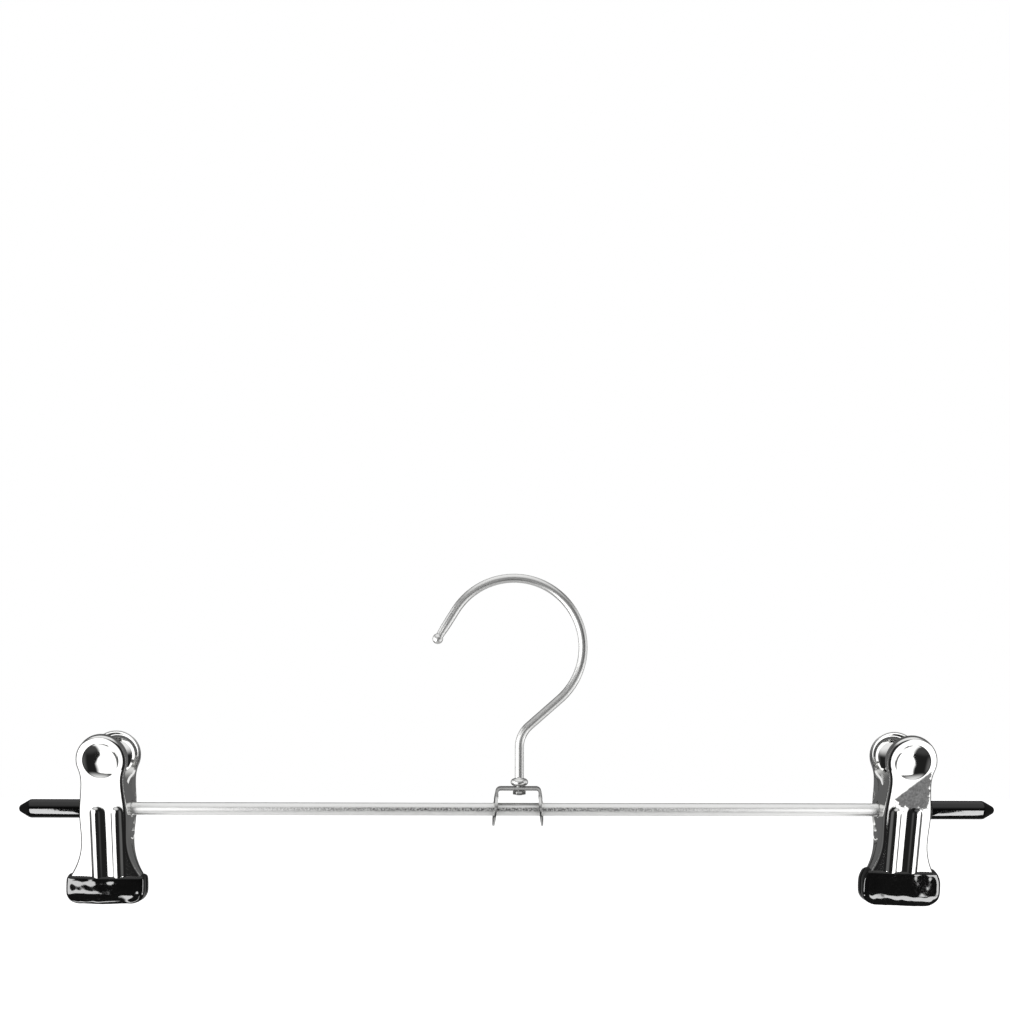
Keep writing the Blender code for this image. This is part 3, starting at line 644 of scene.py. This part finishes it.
def hook_wire():
    """The hook's wire: spigot, bead, stem, crown and ball."""
    across = STEM_FROM_HOOK_CENTRE + STEM_BEND_RADIUS
    up = HOOK_CENTRE_HEIGHT - STEM_BEND_HEIGHT
    lean = math.degrees(math.asin((HOOK_RADIUS + STEM_BEND_RADIUS) / math.hypot(across, up))
                        - math.atan2(across, up))
    bead_foot = BRACKET_HEIGHT + GAP
    ferrule_foot = BRACKET_HEIGHT - STRIP_THICKNESS - GAP - FERRULE_HEIGHT
    stations = [((0, ferrule_foot - SPIGOT_END_LENGTH), SPIGOT_RADIUS * SPIGOT_END_SHARE),
                ((0, ferrule_foot), SPIGOT_RADIUS), ((0, bead_foot), SPIGOT_RADIUS)]
    for step in range(17):
        turn = math.pi * (0.04 + 0.92 * step / 16)
        height = bead_foot + BEAD_HEIGHT * (1 - math.cos(turn)) / 2
        stations.append(((0, height), WIRE_RADIUS + (BEAD_RADIUS - WIRE_RADIUS) * math.sin(turn)))
    top = bead_foot + BEAD_HEIGHT
    for share in (0.02, 0.08, 0.2, 0.4, 0.6, 0.8):
        stations.append(((0, top + (STEM_BEND_HEIGHT - top) * share), WIRE_RADIUS))
    bend = arc(STEM_BEND_RADIUS, STEM_BEND_HEIGHT, STEM_BEND_RADIUS, 180, 180 - lean, 20)
    crown = arc(-STEM_FROM_HOOK_CENTRE, HOOK_CENTRE_HEIGHT, HOOK_RADIUS, -lean, HOOK_ARC_END, 110)
    stations += [(place, WIRE_RADIUS) for place in bend + crown]
    end = math.radians(HOOK_ARC_END)
    onward = Vector((-math.sin(end), math.cos(end)))
    start = Vector(crown[-1])
    for share in (0.2, 0.4, 0.55, 0.7, 0.8, 0.9, 0.96, 1.0):
        radius = ease(WIRE_RADIUS, HOOK_NECK_RADIUS, (share - 0.55) / 0.45)
        stations.append((start + onward * HOOK_TIP_RUN * share, radius))
    ball_start = math.asin(HOOK_NECK_RADIUS / HOOK_BALL_RADIUS)
    for step in range(1, 17):
        turn = ball_start + (math.radians(177) - ball_start) * step / 16
        along = HOOK_BALL_RADIUS * (math.cos(ball_start) - math.cos(turn))
        place = start + onward * (HOOK_TIP_RUN + along)
        stations.append((place, HOOK_BALL_RADIUS * math.sin(turn)))
    places = [Vector((STEM_X + p[0], 0, BAR_Z + p[1])) for p, _ in stations]
    bm = swept_wire(places, [radius for _, radius in stations], 40)
    piece = finished("hook_wire_fine", bm, HOOK_STEEL, "hook", 50)
    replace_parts(piece, "hook_wire")


def ferrule():
    top = BAR_Z + BRACKET_HEIGHT - STRIP_THICKNESS - GAP
    place = Matrix.Translation((STEM_X, 0, top - FERRULE_HEIGHT / 2))
    place @= Matrix.Rotation(math.pi / 2, 4, "Z")
    bm = bmesh.new()
    bmesh.ops.create_cone(bm, cap_ends=True, segments=6, radius1=FERRULE_WIDTH / 2,
                          radius2=FERRULE_WIDTH / 2, depth=FERRULE_HEIGHT, matrix=place)
    bmesh.ops.bevel(bm, geom=bm.edges[:], offset=FERRULE_ROUND, affect="EDGES", segments=3,
                    profile=0.5, material=-1)
    piece = finished("hook_ferrule_fine", bm, STRIP_STEEL, "hook", 30)
    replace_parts(piece, "hook_ferrule")


def bracket_rows():
    """The strip's rows from one lug's foot over the top to the other's: x, z, half width, twist."""
    half_span = BRACKET_SPAN / 2 - STRIP_THICKNESS / 2
    bend = BRACKET_BEND_RADIUS - STRIP_THICKNESS / 2
    bend_z = BRACKET_HEIGHT - BRACKET_BEND_RADIUS
    join = math.degrees(math.acos(LEG_WIDTH / 2 / LUG_RADIUS))
    rows = []
    for side, splay in ((-1, LEFT_LEG_SPLAY), (1, RIGHT_LEG_SPLAY)):
        lean = math.tan(math.radians(splay))
        twist = side * math.radians(LUG_TWIST)
        leg = [(half, z, twist) for half, z in arc(0, 0, LUG_RADIUS, -87, join, 36)]
        leg += [(LEG_WIDTH / 2, z, twist * (bend_z - z) / LEG_UNTWIST_RUN)
                for z in (0.0048, 0.0052, 0.0056)]
        leg = [(side * (half_span + lean * (bend_z - z)), z, half, turn) for half, z, turn in leg]
        corner = [(side * (half_span - bend + x), bend_z + z, LEG_WIDTH / 2, 0.0)
                  for x, z in arc(0, 0, bend, 0, 90, 10)]
        rows += leg + corner if side < 0 else list(reversed(leg + corner))
    return rows


def bracket():
    """The bent strip, swept along its rows. Its lugs thin out towards their edges below the bar."""
    bm = bmesh.new()
    columns = 12
    for _ in range(columns + 1):
        bm.verts.new()
    number = numbered(bm)
    thin = bm.verts.layers.deform.verify()
    verts = bm.verts[:]
    rim = [bm.edges.new(pair) for pair in zip(verts, verts[1:])]
    for k, (x, z, half, twist) in enumerate(bracket_rows()):
        if k:
            rim = extruded(bm, rim)
        for vert in rim_verts(rim):
            share = 2 * vert[number] / columns - 1
            vert.co = (STEM_X + BRACKET_FROM_STEM + x + share * half * math.sin(twist),
                       share * half * math.cos(twist), BAR_Z + z)
            past = math.hypot(share * half, z) - LUG_THIN_FROM
            vert[thin][0] = ease(1.0, LUG_EDGE_SHARE, past / LUG_THIN_RUN) if z < 0 else 1.0
    bmesh.ops.recalc_face_normals(bm, faces=bm.faces)
    top = (STEM_X, 0, BAR_Z + BRACKET_HEIGHT)
    drills = [drill(ALONG, BAR_RADIUS + GAP, 0.03, (STEM_X, 0, BAR_Z)),
              drill(UP, SPIGOT_RADIUS + GAP, 0.003, top)]
    wall = {"thickness": STRIP_THICKNESS, "offset": 0, "use_even_offset": True,
            "vertex_group": "thin"}
    steps = [("SOLIDIFY", wall), *map(hole, drills), edge_round(STRIP_EDGE_ROUND, 3, 50)]
    mesh = baked("strip", bm, steps, drills, "thin")
    piece = dressed("bracket_fine", mesh, STRIP_STEEL, "crossbar", 35)
    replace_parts(piece, "bracket")


# Bar and its caps

def bar():
    """The straight rod, slightly chamfered at each end."""
    half, chamfer = BAR_LENGTH / 2, BAR_END_CHAMFER
    profile = [(-half, 0), (-half, BAR_RADIUS - chamfer), (-half + chamfer, BAR_RADIUS)]
    profile += [(-half + BAR_LENGTH * i / 12, BAR_RADIUS) for i in range(1, 12)]
    profile += [(half - chamfer, BAR_RADIUS), (half, BAR_RADIUS - chamfer), (half, 0)]
    bm = spun(profile, ALONG)
    bmesh.ops.translate(bm, verts=bm.verts, vec=(BAR_X, 0, BAR_Z))
    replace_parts(finished("bar_fine", bm, ZINC, "crossbar"), "bar")


def end_caps():
    """Both caps: a sleeve with a rounded mouth and a nose that narrows to a blunt tip."""
    tip, rim, blend = OVERALL_LENGTH / 2, CAP_MOUTH_ROUND, CAP_NOSE_BLEND
    mouth, nose, ball = tip - CAP_LENGTH, tip - CAP_NOSE_LENGTH, tip - CAP_NOSE_RADIUS
    bore = BAR_RADIUS + GAP
    bore_end = nose + BAR_END_CHAMFER
    profile = [(bore_end, 0), (bore_end, bore), (mouth + CAP_MOUTH_CHAMFER, bore)]
    profile += [(mouth + rim - rim * math.cos(a), CAP_RADIUS - rim + rim * math.sin(a))
                for a in [math.pi / 2 * i / 6 for i in range(7)]]
    profile += [(mouth + (nose - mouth) * i / 8, CAP_RADIUS) for i in range(1, 8)]
    reach = math.hypot(ball - nose, CAP_RADIUS)
    touch = math.pi / 2 + math.atan2(ball - nose, CAP_RADIUS) - math.acos(CAP_NOSE_RADIUS / reach)
    slope = math.tan(math.pi / 2 - touch)
    for i in range(7):
        share = i / 6
        fall = blend * slope * share * share
        profile.append((nose - blend + 2 * blend * share, CAP_RADIUS - fall))
    for i in range(17):
        turn = touch * (1 - i / 16)
        profile.append((ball + CAP_NOSE_RADIUS * math.cos(turn), CAP_NOSE_RADIUS * math.sin(turn)))
    profile[-1] = (tip, 0)
    for side, heading in (("right", 0.0), ("left", math.pi)):
        bm = spun(profile, ALONG)
        bm.transform(Matrix.Translation((BAR_X, 0, BAR_Z)) @ Matrix.Rotation(heading, 4, "Z"))
        piece = finished(f"{side}_end_cap_fine", bm, CAP_VINYL, "crossbar", 60)
        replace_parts(piece, f"{side}_end_cap")


# Clips

def clip_matrix(side):
    """From a clip's own frame, with the bar through its origin, to the row's frame."""
    turns = Euler([math.radians(turn) for turn in CLIP_TURNS[side]])
    return Matrix.Translation((BAR_X + CLIP_PLACES[side], 0, BAR_Z)) @ turns.to_matrix().to_4x4()


def jaw_matrix(side, face):
    """From a jaw's own frame, with its face towards -Y and its pad up, to the row's frame."""
    heading = 0.0 if face == "front" else math.pi
    return clip_matrix(side) @ Euler((TILT, 0, heading)).to_matrix().to_4x4()


def jaw_side(grow, foot, corner, fine=10):
    """The right side of a jaw's tip, from its foot up to the neck, grown outwards by grow."""
    swing = math.acos(1 - (TIP_WIDTH - NECK_WIDTH) / 2 / (FLARE_RADIUS + SHOULDER_RADIUS))
    shoulder_z = -NECK_DEPTH - (FLARE_RADIUS + SHOULDER_RADIUS) * math.sin(swing)
    swing = math.degrees(swing)
    half = TIP_WIDTH / 2
    points = arc(half + grow - corner, foot + corner, corner, -90, 0, fine)
    points += arc(half - SHOULDER_RADIUS, shoulder_z, SHOULDER_RADIUS + grow, 0, swing, fine)
    flare_x = NECK_WIDTH / 2 + FLARE_RADIUS
    points += arc(flare_x, -NECK_DEPTH, FLARE_RADIUS - grow, 180 + swing, 180, 2 * fine)[1:]
    return points


def plate_side(inset):
    """A plate's right side from its foot to where the pad's round begins, inset by some."""
    points = jaw_side(-inset, inset - TIP_DEPTH, TIP_CORNER_RADIUS - inset)
    for step in range(1, 17):
        share = step / 16
        points.append((ease(NECK_WIDTH, EAR_WIDTH, share) / 2 - inset, NECK_DEPTH * (share - 1)))
    for step in range(1, 25):
        share = step / 24
        points.append((ease(EAR_WIDTH, WAIST_WIDTH, share) / 2 - inset, WAIST_HEIGHT * share))
    half, up = WAIST_WIDTH / 2, PAD_HEIGHT - WAIST_HEIGHT
    fillet = (half**2 + up**2 - PAD_RADIUS**2) / (2 * (PAD_RADIUS - half))
    meet = math.degrees(math.atan2(up, half + fillet))
    points += arc(half + fillet, WAIST_HEIGHT, fillet + inset, 180, 180 - meet, 8)[1:]
    return points


def width_at(points, height):
    """Half the width of an outline at a height, between its points."""
    for (x0, z0), (x1, z1) in zip(points, points[1:]):
        if z0 <= height <= z1 and z1 > z0:
            return x0 + (x1 - x0) * (height - z0) / (z1 - z0)
    return points[0][0] if height < points[0][1] else points[-1][0]


def centre_plane_depth(height, clearance=0.0):
    """How far behind a jaw's face the clip's middle plane lies, less a clearance."""
    return PIVOT_TO_FACE + height * math.tan(TILT) - clearance / math.cos(TILT)


def ear_edge(height, start_height, start_depth):
    """An ear's edge: straight from where it starts until it touches the round about the pivot."""
    across, up = abs(start_height), PIVOT_TO_FACE - start_depth
    reach = math.hypot(across, up)
    slope = math.atan2(up, across) + math.asin(EAR_RADIUS / reach)
    touch = across - math.sqrt(reach**2 - EAR_RADIUS**2) * math.cos(slope)
    if abs(height) > touch:
        return start_depth + (across - abs(height)) * math.tan(slope)
    return PIVOT_TO_FACE + math.sqrt(EAR_RADIUS**2 - height**2)


def flange_depth(height):
    """How deep the plate's turned-in edge reaches behind its face."""
    if height >= EAR_TOP_HEIGHT:
        return PAD_FLANGE
    if height >= 0:
        return ear_edge(height, EAR_TOP_HEIGHT, PAD_FLANGE)
    if height >= -EAR_FOOT_DEPTH:
        return ear_edge(height, -EAR_FOOT_DEPTH, centre_plane_depth(-EAR_FOOT_DEPTH, JAW_FACE_GAP))
    tip_clearance = JAW_FACE_GAP / 2 + GRIP_FACE_WALL + GAP
    below = (-height - EAR_FOOT_DEPTH) / (GRIP_TOP_DEPTH - EAR_FOOT_DEPTH)
    return centre_plane_depth(height, ease(JAW_FACE_GAP, tip_clearance, below))


def rib_rise(away, hollow):
    """How high a rib stands some way from its crest, with a hollow of some radius at its foot."""
    foot = math.sqrt((RIB_RADIUS + hollow) ** 2 - (RIB_RADIUS - RIB_RISE + hollow) ** 2)
    if away < foot * RIB_RADIUS / (RIB_RADIUS + hollow):
        return math.sqrt(RIB_RADIUS**2 - away**2) - RIB_RADIUS + RIB_RISE
    return hollow - math.sqrt(hollow**2 - (foot - away) ** 2) if away < foot else 0.0


def face_depth(x, z, rib_shift):
    """How far behind the flat face a point of the pressed face lies: crown, dish and ribs."""
    depth = FACE_CROWN * x * x * ease(0.0, 1.0, (-z - FACE_CROWN_FROM) / FACE_CROWN_RUN)
    out = math.hypot(x, z - PAD_HEIGHT) / DISH_RADIUS
    if out < 1.3:
        depth += soft_max(DISH_DEPTH * (1 - out**3), DISH_RIM_BLEND)
    for side in (-1, 1):
        inward = RIB_SPACING / 2 - side * (x - rib_shift)
        away = math.hypot(inward, max(0.0, z - RIB_TOP_HEIGHT + RIB_RADIUS))
        share = (max(0.0, inward) / away) ** 2 if away else 0.0
        depth -= rib_rise(away, RIB_HOLLOW + (VALLEY_HOLLOW - RIB_HOLLOW) * share)
    return depth


def plate_face():
    """The plate's face, still flat, as one sheet: rings in the pad, then rows down to the foot."""
    bm = bmesh.new()
    bmesh.ops.create_circle(bm, segments=SPOKES, radius=1.0)
    number = numbered(bm)
    rim = centre = bm.edges[:]
    flat = PAD_RADIUS - EDGE_BEND_RADIUS

    def spoke(vert):
        return math.radians(PAD_JOIN_ANGLE - 180 + 360 * vert[number] / SPOKES)

    for k, reach in enumerate([ring / 1000 for ring in PAD_RINGS] + [flat]):
        if k:
            rim = extruded(bm, rim)
        for vert in rim_verts(rim):
            turn = spoke(vert)
            vert.co = (reach * math.cos(turn), 0, PAD_HEIGHT + reach * math.sin(turn))
    bmesh.ops.contextual_create(bm, geom=centre)
    rim = [e for e in rim if all(v[number] <= COLUMNS for v in e.verts)]

    side = plate_side(EDGE_BEND_RADIUS)
    foot = side[0][1]
    join_z = PAD_HEIGHT - flat * math.sin(math.radians(PAD_JOIN_ANGLE))
    corner = foot + TIP_CORNER_RADIUS - EDGE_BEND_RADIUS
    heights = [FACE_ROWS_TOP - FACE_ROW_PITCH * i for i in range(1, FACE_ROWS + 1)]
    heights += [foot + (corner - foot) * (1 - math.sin(math.pi / 2 * i / CORNER_ROWS))
                for i in range(CORNER_ROWS + 1)]
    for k in range(1, JOIN_ROWS + 1):
        rim = extruded(bm, rim)
        share = k / JOIN_ROWS
        width = width_at(side, join_z + (FACE_ROWS_TOP - join_z) * share)
        for vert in rim_verts(rim):
            turn = spoke(vert)
            across = 2 * vert[number] / COLUMNS - 1
            arc_across = math.cos(turn) / math.cos(math.radians(PAD_JOIN_ANGLE))
            arc_z = PAD_HEIGHT + flat * math.sin(turn)
            vert.co = (width * (arc_across + (across - arc_across) * share), 0,
                       arc_z + (FACE_ROWS_TOP - arc_z) * share)
    for z in heights:
        rim = extruded(bm, rim)
        for vert in rim_verts(rim):
            vert.co = (width_at(side, z) * (2 * vert[number] / COLUMNS - 1), 0, z)
    return bm


def rim_loop(bm):
    """A sheet's open edges, their points anticlockwise from the front, and the ways outward."""
    edges = [e for e in bm.edges if len(e.link_faces) == 1]
    nearby = {}
    for e in edges:
        for v in e.verts:
            nearby.setdefault(v, []).append(e.other_vert(v))
    loop = list(edges[0].verts)
    while True:
        step = [v for v in nearby[loop[-1]] if v is not loop[-2]][0]
        if step is loop[0]:
            break
        loop.append(step)
    area = sum(a.co.x * b.co.z - b.co.x * a.co.z for a, b in zip(loop, loop[1:] + loop[:1]))
    if area < 0:
        loop.reverse()
    outward = []
    for i in range(len(loop)):
        before, after = loop[i - 1].co, loop[(i + 1) % len(loop)].co
        along = Vector((after.x - before.x, after.z - before.z)).normalized()
        outward.append(Vector((along.y, -along.x)))
    return edges, loop, outward


def joggled(x, z, past_bend):
    """Where an inner ear's side lies: drawn in from the outline, to turn inside the outer ears."""
    above = (EAR_TOP_HEIGHT - z) / (EAR_TOP_HEIGHT - INNER_EAR_TOP_HEIGHT)
    below = (z + INNER_EAR_FOOT_DEPTH) / (INNER_EAR_FOOT_DEPTH - EAR_FOOT_DEPTH)
    inward = min(ease(0, 1, above), ease(0, 1, below))
    inward *= ease(0, 1, past_bend / (JOGGLE_DEPTH - EDGE_BEND_RADIUS))
    return x + (math.copysign(INNER_EAR_WIDTH / 2, x) - x) * inward


def turn_in_edges(bm, inner_ears, rib_shift):
    """Presses the face, and turns its edge in round the bend and on to the flange's rim."""
    rim, loop, outward = rim_loop(bm)
    number = bm.verts.layers.int["number"]
    ways = []
    for i, (vert, way) in enumerate(zip(loop, outward)):
        vert[number] = i
        ways.append((vert.co.x, vert.co.z, way.x, way.y))
    for vert in bm.verts:
        vert.co.y = face_depth(vert.co.x, vert.co.z, rib_shift)
    bend = EDGE_BEND_RADIUS
    for k in range(1, 1 + BEND_RINGS + FLANGE_RINGS):
        rim = extruded(bm, rim)
        for vert in rim_verts(rim):
            x, z, way_x, way_z = ways[vert[number]]
            base = face_depth(x, z, rib_shift)
            turn = math.pi / 2 * min(1.0, k / BEND_RINGS)
            x, z = x + way_x * bend * math.sin(turn), z + way_z * bend * math.sin(turn)
            depth = base + bend * (1 - math.cos(turn))
            if k > BEND_RINGS:
                deep = max(flange_depth(z), depth + 0.0001)
                depth += (deep - depth) * ((k - BEND_RINGS) / FLANGE_RINGS)
                if inner_ears:
                    x = joggled(x, z, depth - base - bend)
            vert.co = (x, depth, z)


def plate_mesh(inner_ears, rib_shift=0.0):
    """A jaw plate in its own frame. Its attribute on_plate holds each point's place there."""
    bm = plate_face()
    bmesh.ops.remove_doubles(bm, verts=bm.verts, dist=0.000001)
    turn_in_edges(bm, inner_ears, rib_shift)
    bmesh.ops.translate(bm, verts=bm.verts, vec=(0, -PIVOT_TO_FACE, 0))
    bmesh.ops.recalc_face_normals(bm, faces=bm.faces)
    face_middle = Vector((0, -PIVOT_TO_FACE, 0.008))
    middle = min(bm.faces, key=lambda f: (f.calc_center_median() - face_middle).length)
    if middle.normal.y > 0:
        bmesh.ops.reverse_faces(bm, faces=bm.faces)
    own = bm.verts.layers.float_vector.new("on_plate")
    for vert in bm.verts:
        vert[own] = vert.co
    ear_drill = drill(ALONG, EAR_HOLE_RADIUS, 0.02)
    wall = {"thickness": SHEET, "offset": -1, "use_even_offset": True}
    steps = [("SOLIDIFY", wall), hole(ear_drill), edge_round(SHEET_EDGE_ROUND, 2, 60)]
    return baked("plate", bm, steps, [ear_drill])


def grip(side, face, top, foot, fullest, fallen, fall):
    """The dipped vinyl on a jaw's tip: a soft block, fuller lower down, with an uneven skin."""
    bm = bmesh.new()
    bmesh.ops.create_cube(bm, size=2.0)
    for axis, cuts in GRIP_CUTS:
        along = [e for e in bm.edges
                 if abs((e.verts[0].co - e.verts[1].co).normalized()[axis]) > 0.9]
        bmesh.ops.subdivide_edges(bm, edges=along, cuts=cuts, use_grid_fill=True)
    grow = GAP + GRIP_WALL
    outline = jaw_side(grow, foot, GRIP_CORNER_RADIUS, 24)
    seed = GRIP_SEEDS[f"{side}_{face}"]
    for vert in bm.verts:
        u, w, v = vert.co
        z = (top + foot) / 2 + (top - foot) / 2 * v
        half = width_at(outline, z)
        x = half * u
        back = (z * math.sin(TILT) - JAW_FACE_GAP / 2) / math.cos(TILT)
        down = (top - z) / (top - foot)
        swell = GRIP_SWELL * ease(0.0, 1.0, down / fullest)
        swell -= fall * min(1.0, max(0.0, (down - fullest) / (fallen - fullest)))
        from_edge = min(half * (1 - abs(u)), top - z, z - foot)
        sagging = side == "right" and z - foot < RIGHT_GRIP_SAG_HEIGHT
        crest = GRIP_BORDER_INSET + (RIGHT_GRIP_SAG if sagging else 0.0)
        border = GRIP_BORDER * (1 + noise.noise(Vector((x * 400, seed, z * 90))))
        border *= math.exp(-((from_edge - crest) / GRIP_BORDER_WIDTH) ** 2)
        rib = GRIP_RIB * ease(1.0, 0.0, down / GRIP_RIB_REACH)
        rib *= math.exp(-((abs(x) - RIB_SPACING / 2) / GRIP_RIB_WIDTH) ** 2)
        front = -PIVOT_TO_FACE - grow + GRIP_CROWN * x * x - swell - border - rib
        vert.co = (x, front + (back - front) * (w + 1) / 2, z)
    bmesh.ops.recalc_face_normals(bm, faces=bm.faces)
    for _ in range(5):
        bmesh.ops.smooth_vert(bm, verts=bm.verts, factor=0.5, use_axis_x=True, use_axis_y=True,
                              use_axis_z=True)
    for vert in bm.verts:
        wave = noise.noise(vert.co * 150 + Vector((seed, 0, 0)))
        wave += 0.35 * noise.noise(vert.co * 520 + Vector((0, seed, 0)))
        low = ease(0.0, 1.0, (foot + 0.005 - vert.co.z) / 0.003)
        vert.co += vert.normal * wave * (GRIP_RIPPLE + GRIP_FOOT_RIPPLE * low)
        over = vert.co.y * math.cos(TILT) - vert.co.z * math.sin(TILT) + JAW_FACE_GAP / 2
        if over > 0:
            vert.co.y -= over / math.cos(TILT)
    bm.transform(jaw_matrix(side, face))
    piece = finished(f"{side}_{face}_grip_dipped", bm, GRIP_VINYL,
                     f"{side}_{face}_jaw", 80)
    rounder = piece.modifiers.new("rounder", "SUBSURF")
    rounder.levels = rounder.render_levels = 1
    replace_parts(piece, f"{side}_{face}_grip")


def spring(side):
    """The torsion spring: down the back leg, round the bar and up the front leg."""
    coil = BAR_RADIUS + GAP + SPRING_WIRE / 2
    inside = PIVOT_TO_FACE - SHEET - GAP - SPRING_WIRE / 2
    tip = Matrix.Rotation(TILT, 3, "X") @ Vector((0, -inside, SPRING_LEG_REACH))
    touch = math.atan2(-tip.y, tip.z) + math.acos(coil / math.hypot(tip.y, tip.z))
    sweep = 2 * math.pi * SPRING_FULL_TURNS - 2 * touch
    half = SPRING_PITCH * sweep / (4 * math.pi)
    steps = 200
    wound = []
    for i in range(steps + 1):
        turn = -touch - sweep * i / steps
        x = -half + 2 * half * i / steps
        wound.append(Vector((x, -coil * math.sin(turn), coil * math.cos(turn))))
    back_tip, front_tip = Vector((-half, -tip.y, tip.z)), Vector((half, tip.y, tip.z))
    back = [back_tip.lerp(wound[0], share) for share in (0, 0.02, 0.25, 0.5, 0.75, 0.95)]
    front = [wound[-1].lerp(front_tip, share) for share in (0.05, 0.25, 0.5, 0.75, 0.98, 1)]
    places = back + wound + front
    radii = [SPRING_WIRE / 2] * len(places)
    radii[0] = radii[-1] = SPRING_WIRE * SPRING_END_SHARE
    clip = clip_matrix(side)
    bm = swept_wire([clip @ p for p in places], radii, 16)
    piece = finished(f"{side}_spring_fine", bm, SPRING_STEEL, None, 50)
    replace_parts(piece, f"{side}_spring")
    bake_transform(piece)


def clips():
    """Both clips. Their back plates are alike, and each front plate's ribs have their own place."""
    back_mesh = plate_mesh(True)
    for side in ("left", "right"):
        for face in ("front", "back"):
            mesh = plate_mesh(False, RIB_SHIFTS[side]) if face == "front" else back_mesh.copy()
            mesh.transform(jaw_matrix(side, face))
            # The right front plate has the painted reflection patch
            surface = CHROME_PAINTED_REFLECTION if (side, face) == ("right", "front") else CHROME
            piece = dressed(f"{side}_{face}_plate_pressed", mesh, surface,
                            f"{side}_{face}_jaw", 38)
            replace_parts(piece, f"{side}_{face}_plate")
            grip(side, face, *GRIPS[side])
        spring(side)
    bpy.data.meshes.remove(back_mesh)


hook_wire()
ferrule()
bracket()
bar()
end_caps()
clips()


# Floor, light and camera

def floor():
    """A pale floor, which the hanger doesn't mirror."""
    bm = bmesh.new()
    bmesh.ops.create_grid(bm, x_segments=1, y_segments=1, size=FLOOR_HALF_WIDTH)
    mesh = mesh_from("floor", bm)
    made = bpy.data.materials.new("pale_floor")
    made.use_nodes = True
    for key, value in {"Base Color": (0.9, 0.9, 0.9, 1), "Roughness": 0.9,
                       "Emission Color": (1, 1, 1, 1), "Emission Strength": 0.75}.items():
        made.node_tree.nodes["Principled BSDF"].inputs[key].default_value = value
    mesh.materials.append(made)
    plane = placed("floor", mesh)
    plane.location.z = FLOOR_HEIGHT
    plane.visible_glossy = plane.visible_diffuse = False


def studio():
    """White behind the hanger, and soft light and dark cards round it for the metal to mirror."""
    world = bpy.data.worlds.new("studio")
    bpy.context.scene.world = world
    world.use_nodes = True
    tree = world.node_tree
    direction = node(tree, "ShaderNodeTexCoord", {}).outputs["Generated"]
    value = ROOM_SHADE
    for way, half, soft, shade in CARDS:
        towards = node(tree, "ShaderNodeVectorMath", {0: direction, 1: Vector(way).normalized()},
                       operation="DOT_PRODUCT").outputs["Value"]
        mask = ramp(tree, towards, *[math.cos(math.radians(a)) for a in (half + soft, half - soft)])
        value = node(tree, "ShaderNodeMix", {0: mask, 2: value, 3: shade}).outputs[0]
    seen = node(tree, "ShaderNodeLightPath", {}).outputs["Is Camera Ray"]
    shown = node(tree, "ShaderNodeMix", {0: seen, 2: value, 3: 1.0}).outputs[0]
    tree.links.new(shown, tree.nodes["Background"].inputs["Color"])
    for name, settings in SOFTBOXES.items():
        softbox(name, *settings)


def softbox(name, faced, bearing, reach, height, width, tall, radiance, falls_on, edge=None):
    """A soft light at a bearing from straight ahead of a place. Without a reach it lies flat."""
    light = bpy.data.lights.new(name, "AREA")
    light.shape = "RECTANGLE"
    light.size, light.size_y = width, tall
    light.energy = math.pi * radiance * width * tall
    if edge:
        light.use_nodes = True
        soften(light.node_tree, bearing > 0, edge, OUTER_ENDS.get(falls_on))
    turn = math.radians(bearing)
    level = Vector((math.sin(turn), -math.cos(turn), 0))
    receivers = lit_pieces(falls_on)
    lamp = placed(name, light)
    lamp.location = Vector((*faced, height)) + level * reach
    lamp.rotation_euler = level.to_track_quat("Z", "Y").to_euler() if reach else (math.pi, 0, turn)
    lamp.visible_camera = False
    lamp.light_linking.receiver_collection = receivers


def soften(tree, mirrored, edge, outer_end):
    """Lets a light fade at its inner edge and, where one is given, at its outer end."""
    own = node(tree, "ShaderNodeNewGeometry", {}).outputs["Parametric"]
    place = node(tree, "ShaderNodeSeparateXYZ", {0: own}).outputs
    inward, up = place["X"], place["Y"]
    if mirrored:
        inward = maths(tree, "SUBTRACT", 1.0, inward)
    turn, ends, fulls = edge
    end, full = [ramp(tree, up, *turn, *low_and_high, "LINEAR") for low_and_high in (ends, fulls)]
    strength = ramp(tree, inward, end, full)
    if outer_end:
        strength = maths(tree, "MULTIPLY", strength, ramp(tree, inward, *outer_end))
    tree.links.new(strength, tree.nodes["Emission"].inputs["Strength"])


def lit_pieces(group):
    """The pieces that a light falls on, as a collection."""
    name = f"lit_{group}"
    if name in bpy.data.collections:
        return bpy.data.collections[name]
    collection = bpy.data.collections.new(name)
    for piece in bpy.context.scene.objects:
        if piece.name.startswith(LIT_PIECES[group]):
            collection.objects.link(piece)
    return collection


def camera():
    """The photograph's viewpoint: straight ahead, with the hanger low in the picture."""
    cam = placed("camera", bpy.data.cameras.new("camera"))
    cam.data.lens = CAMERA_LENS
    cam.data.sensor_width = CAMERA_SENSOR
    cam.data.shift_x, cam.data.shift_y = CAMERA_SHIFT
    cam.data.clip_end = 10
    cam.location = CAMERA_PLACE
    cam.rotation_euler = (math.radians(90), math.radians(CAMERA_ROLL), 0)
    bpy.context.scene.camera = cam


floor()
studio()
camera()
bpy.context.scene.view_settings.view_transform = "Standard"
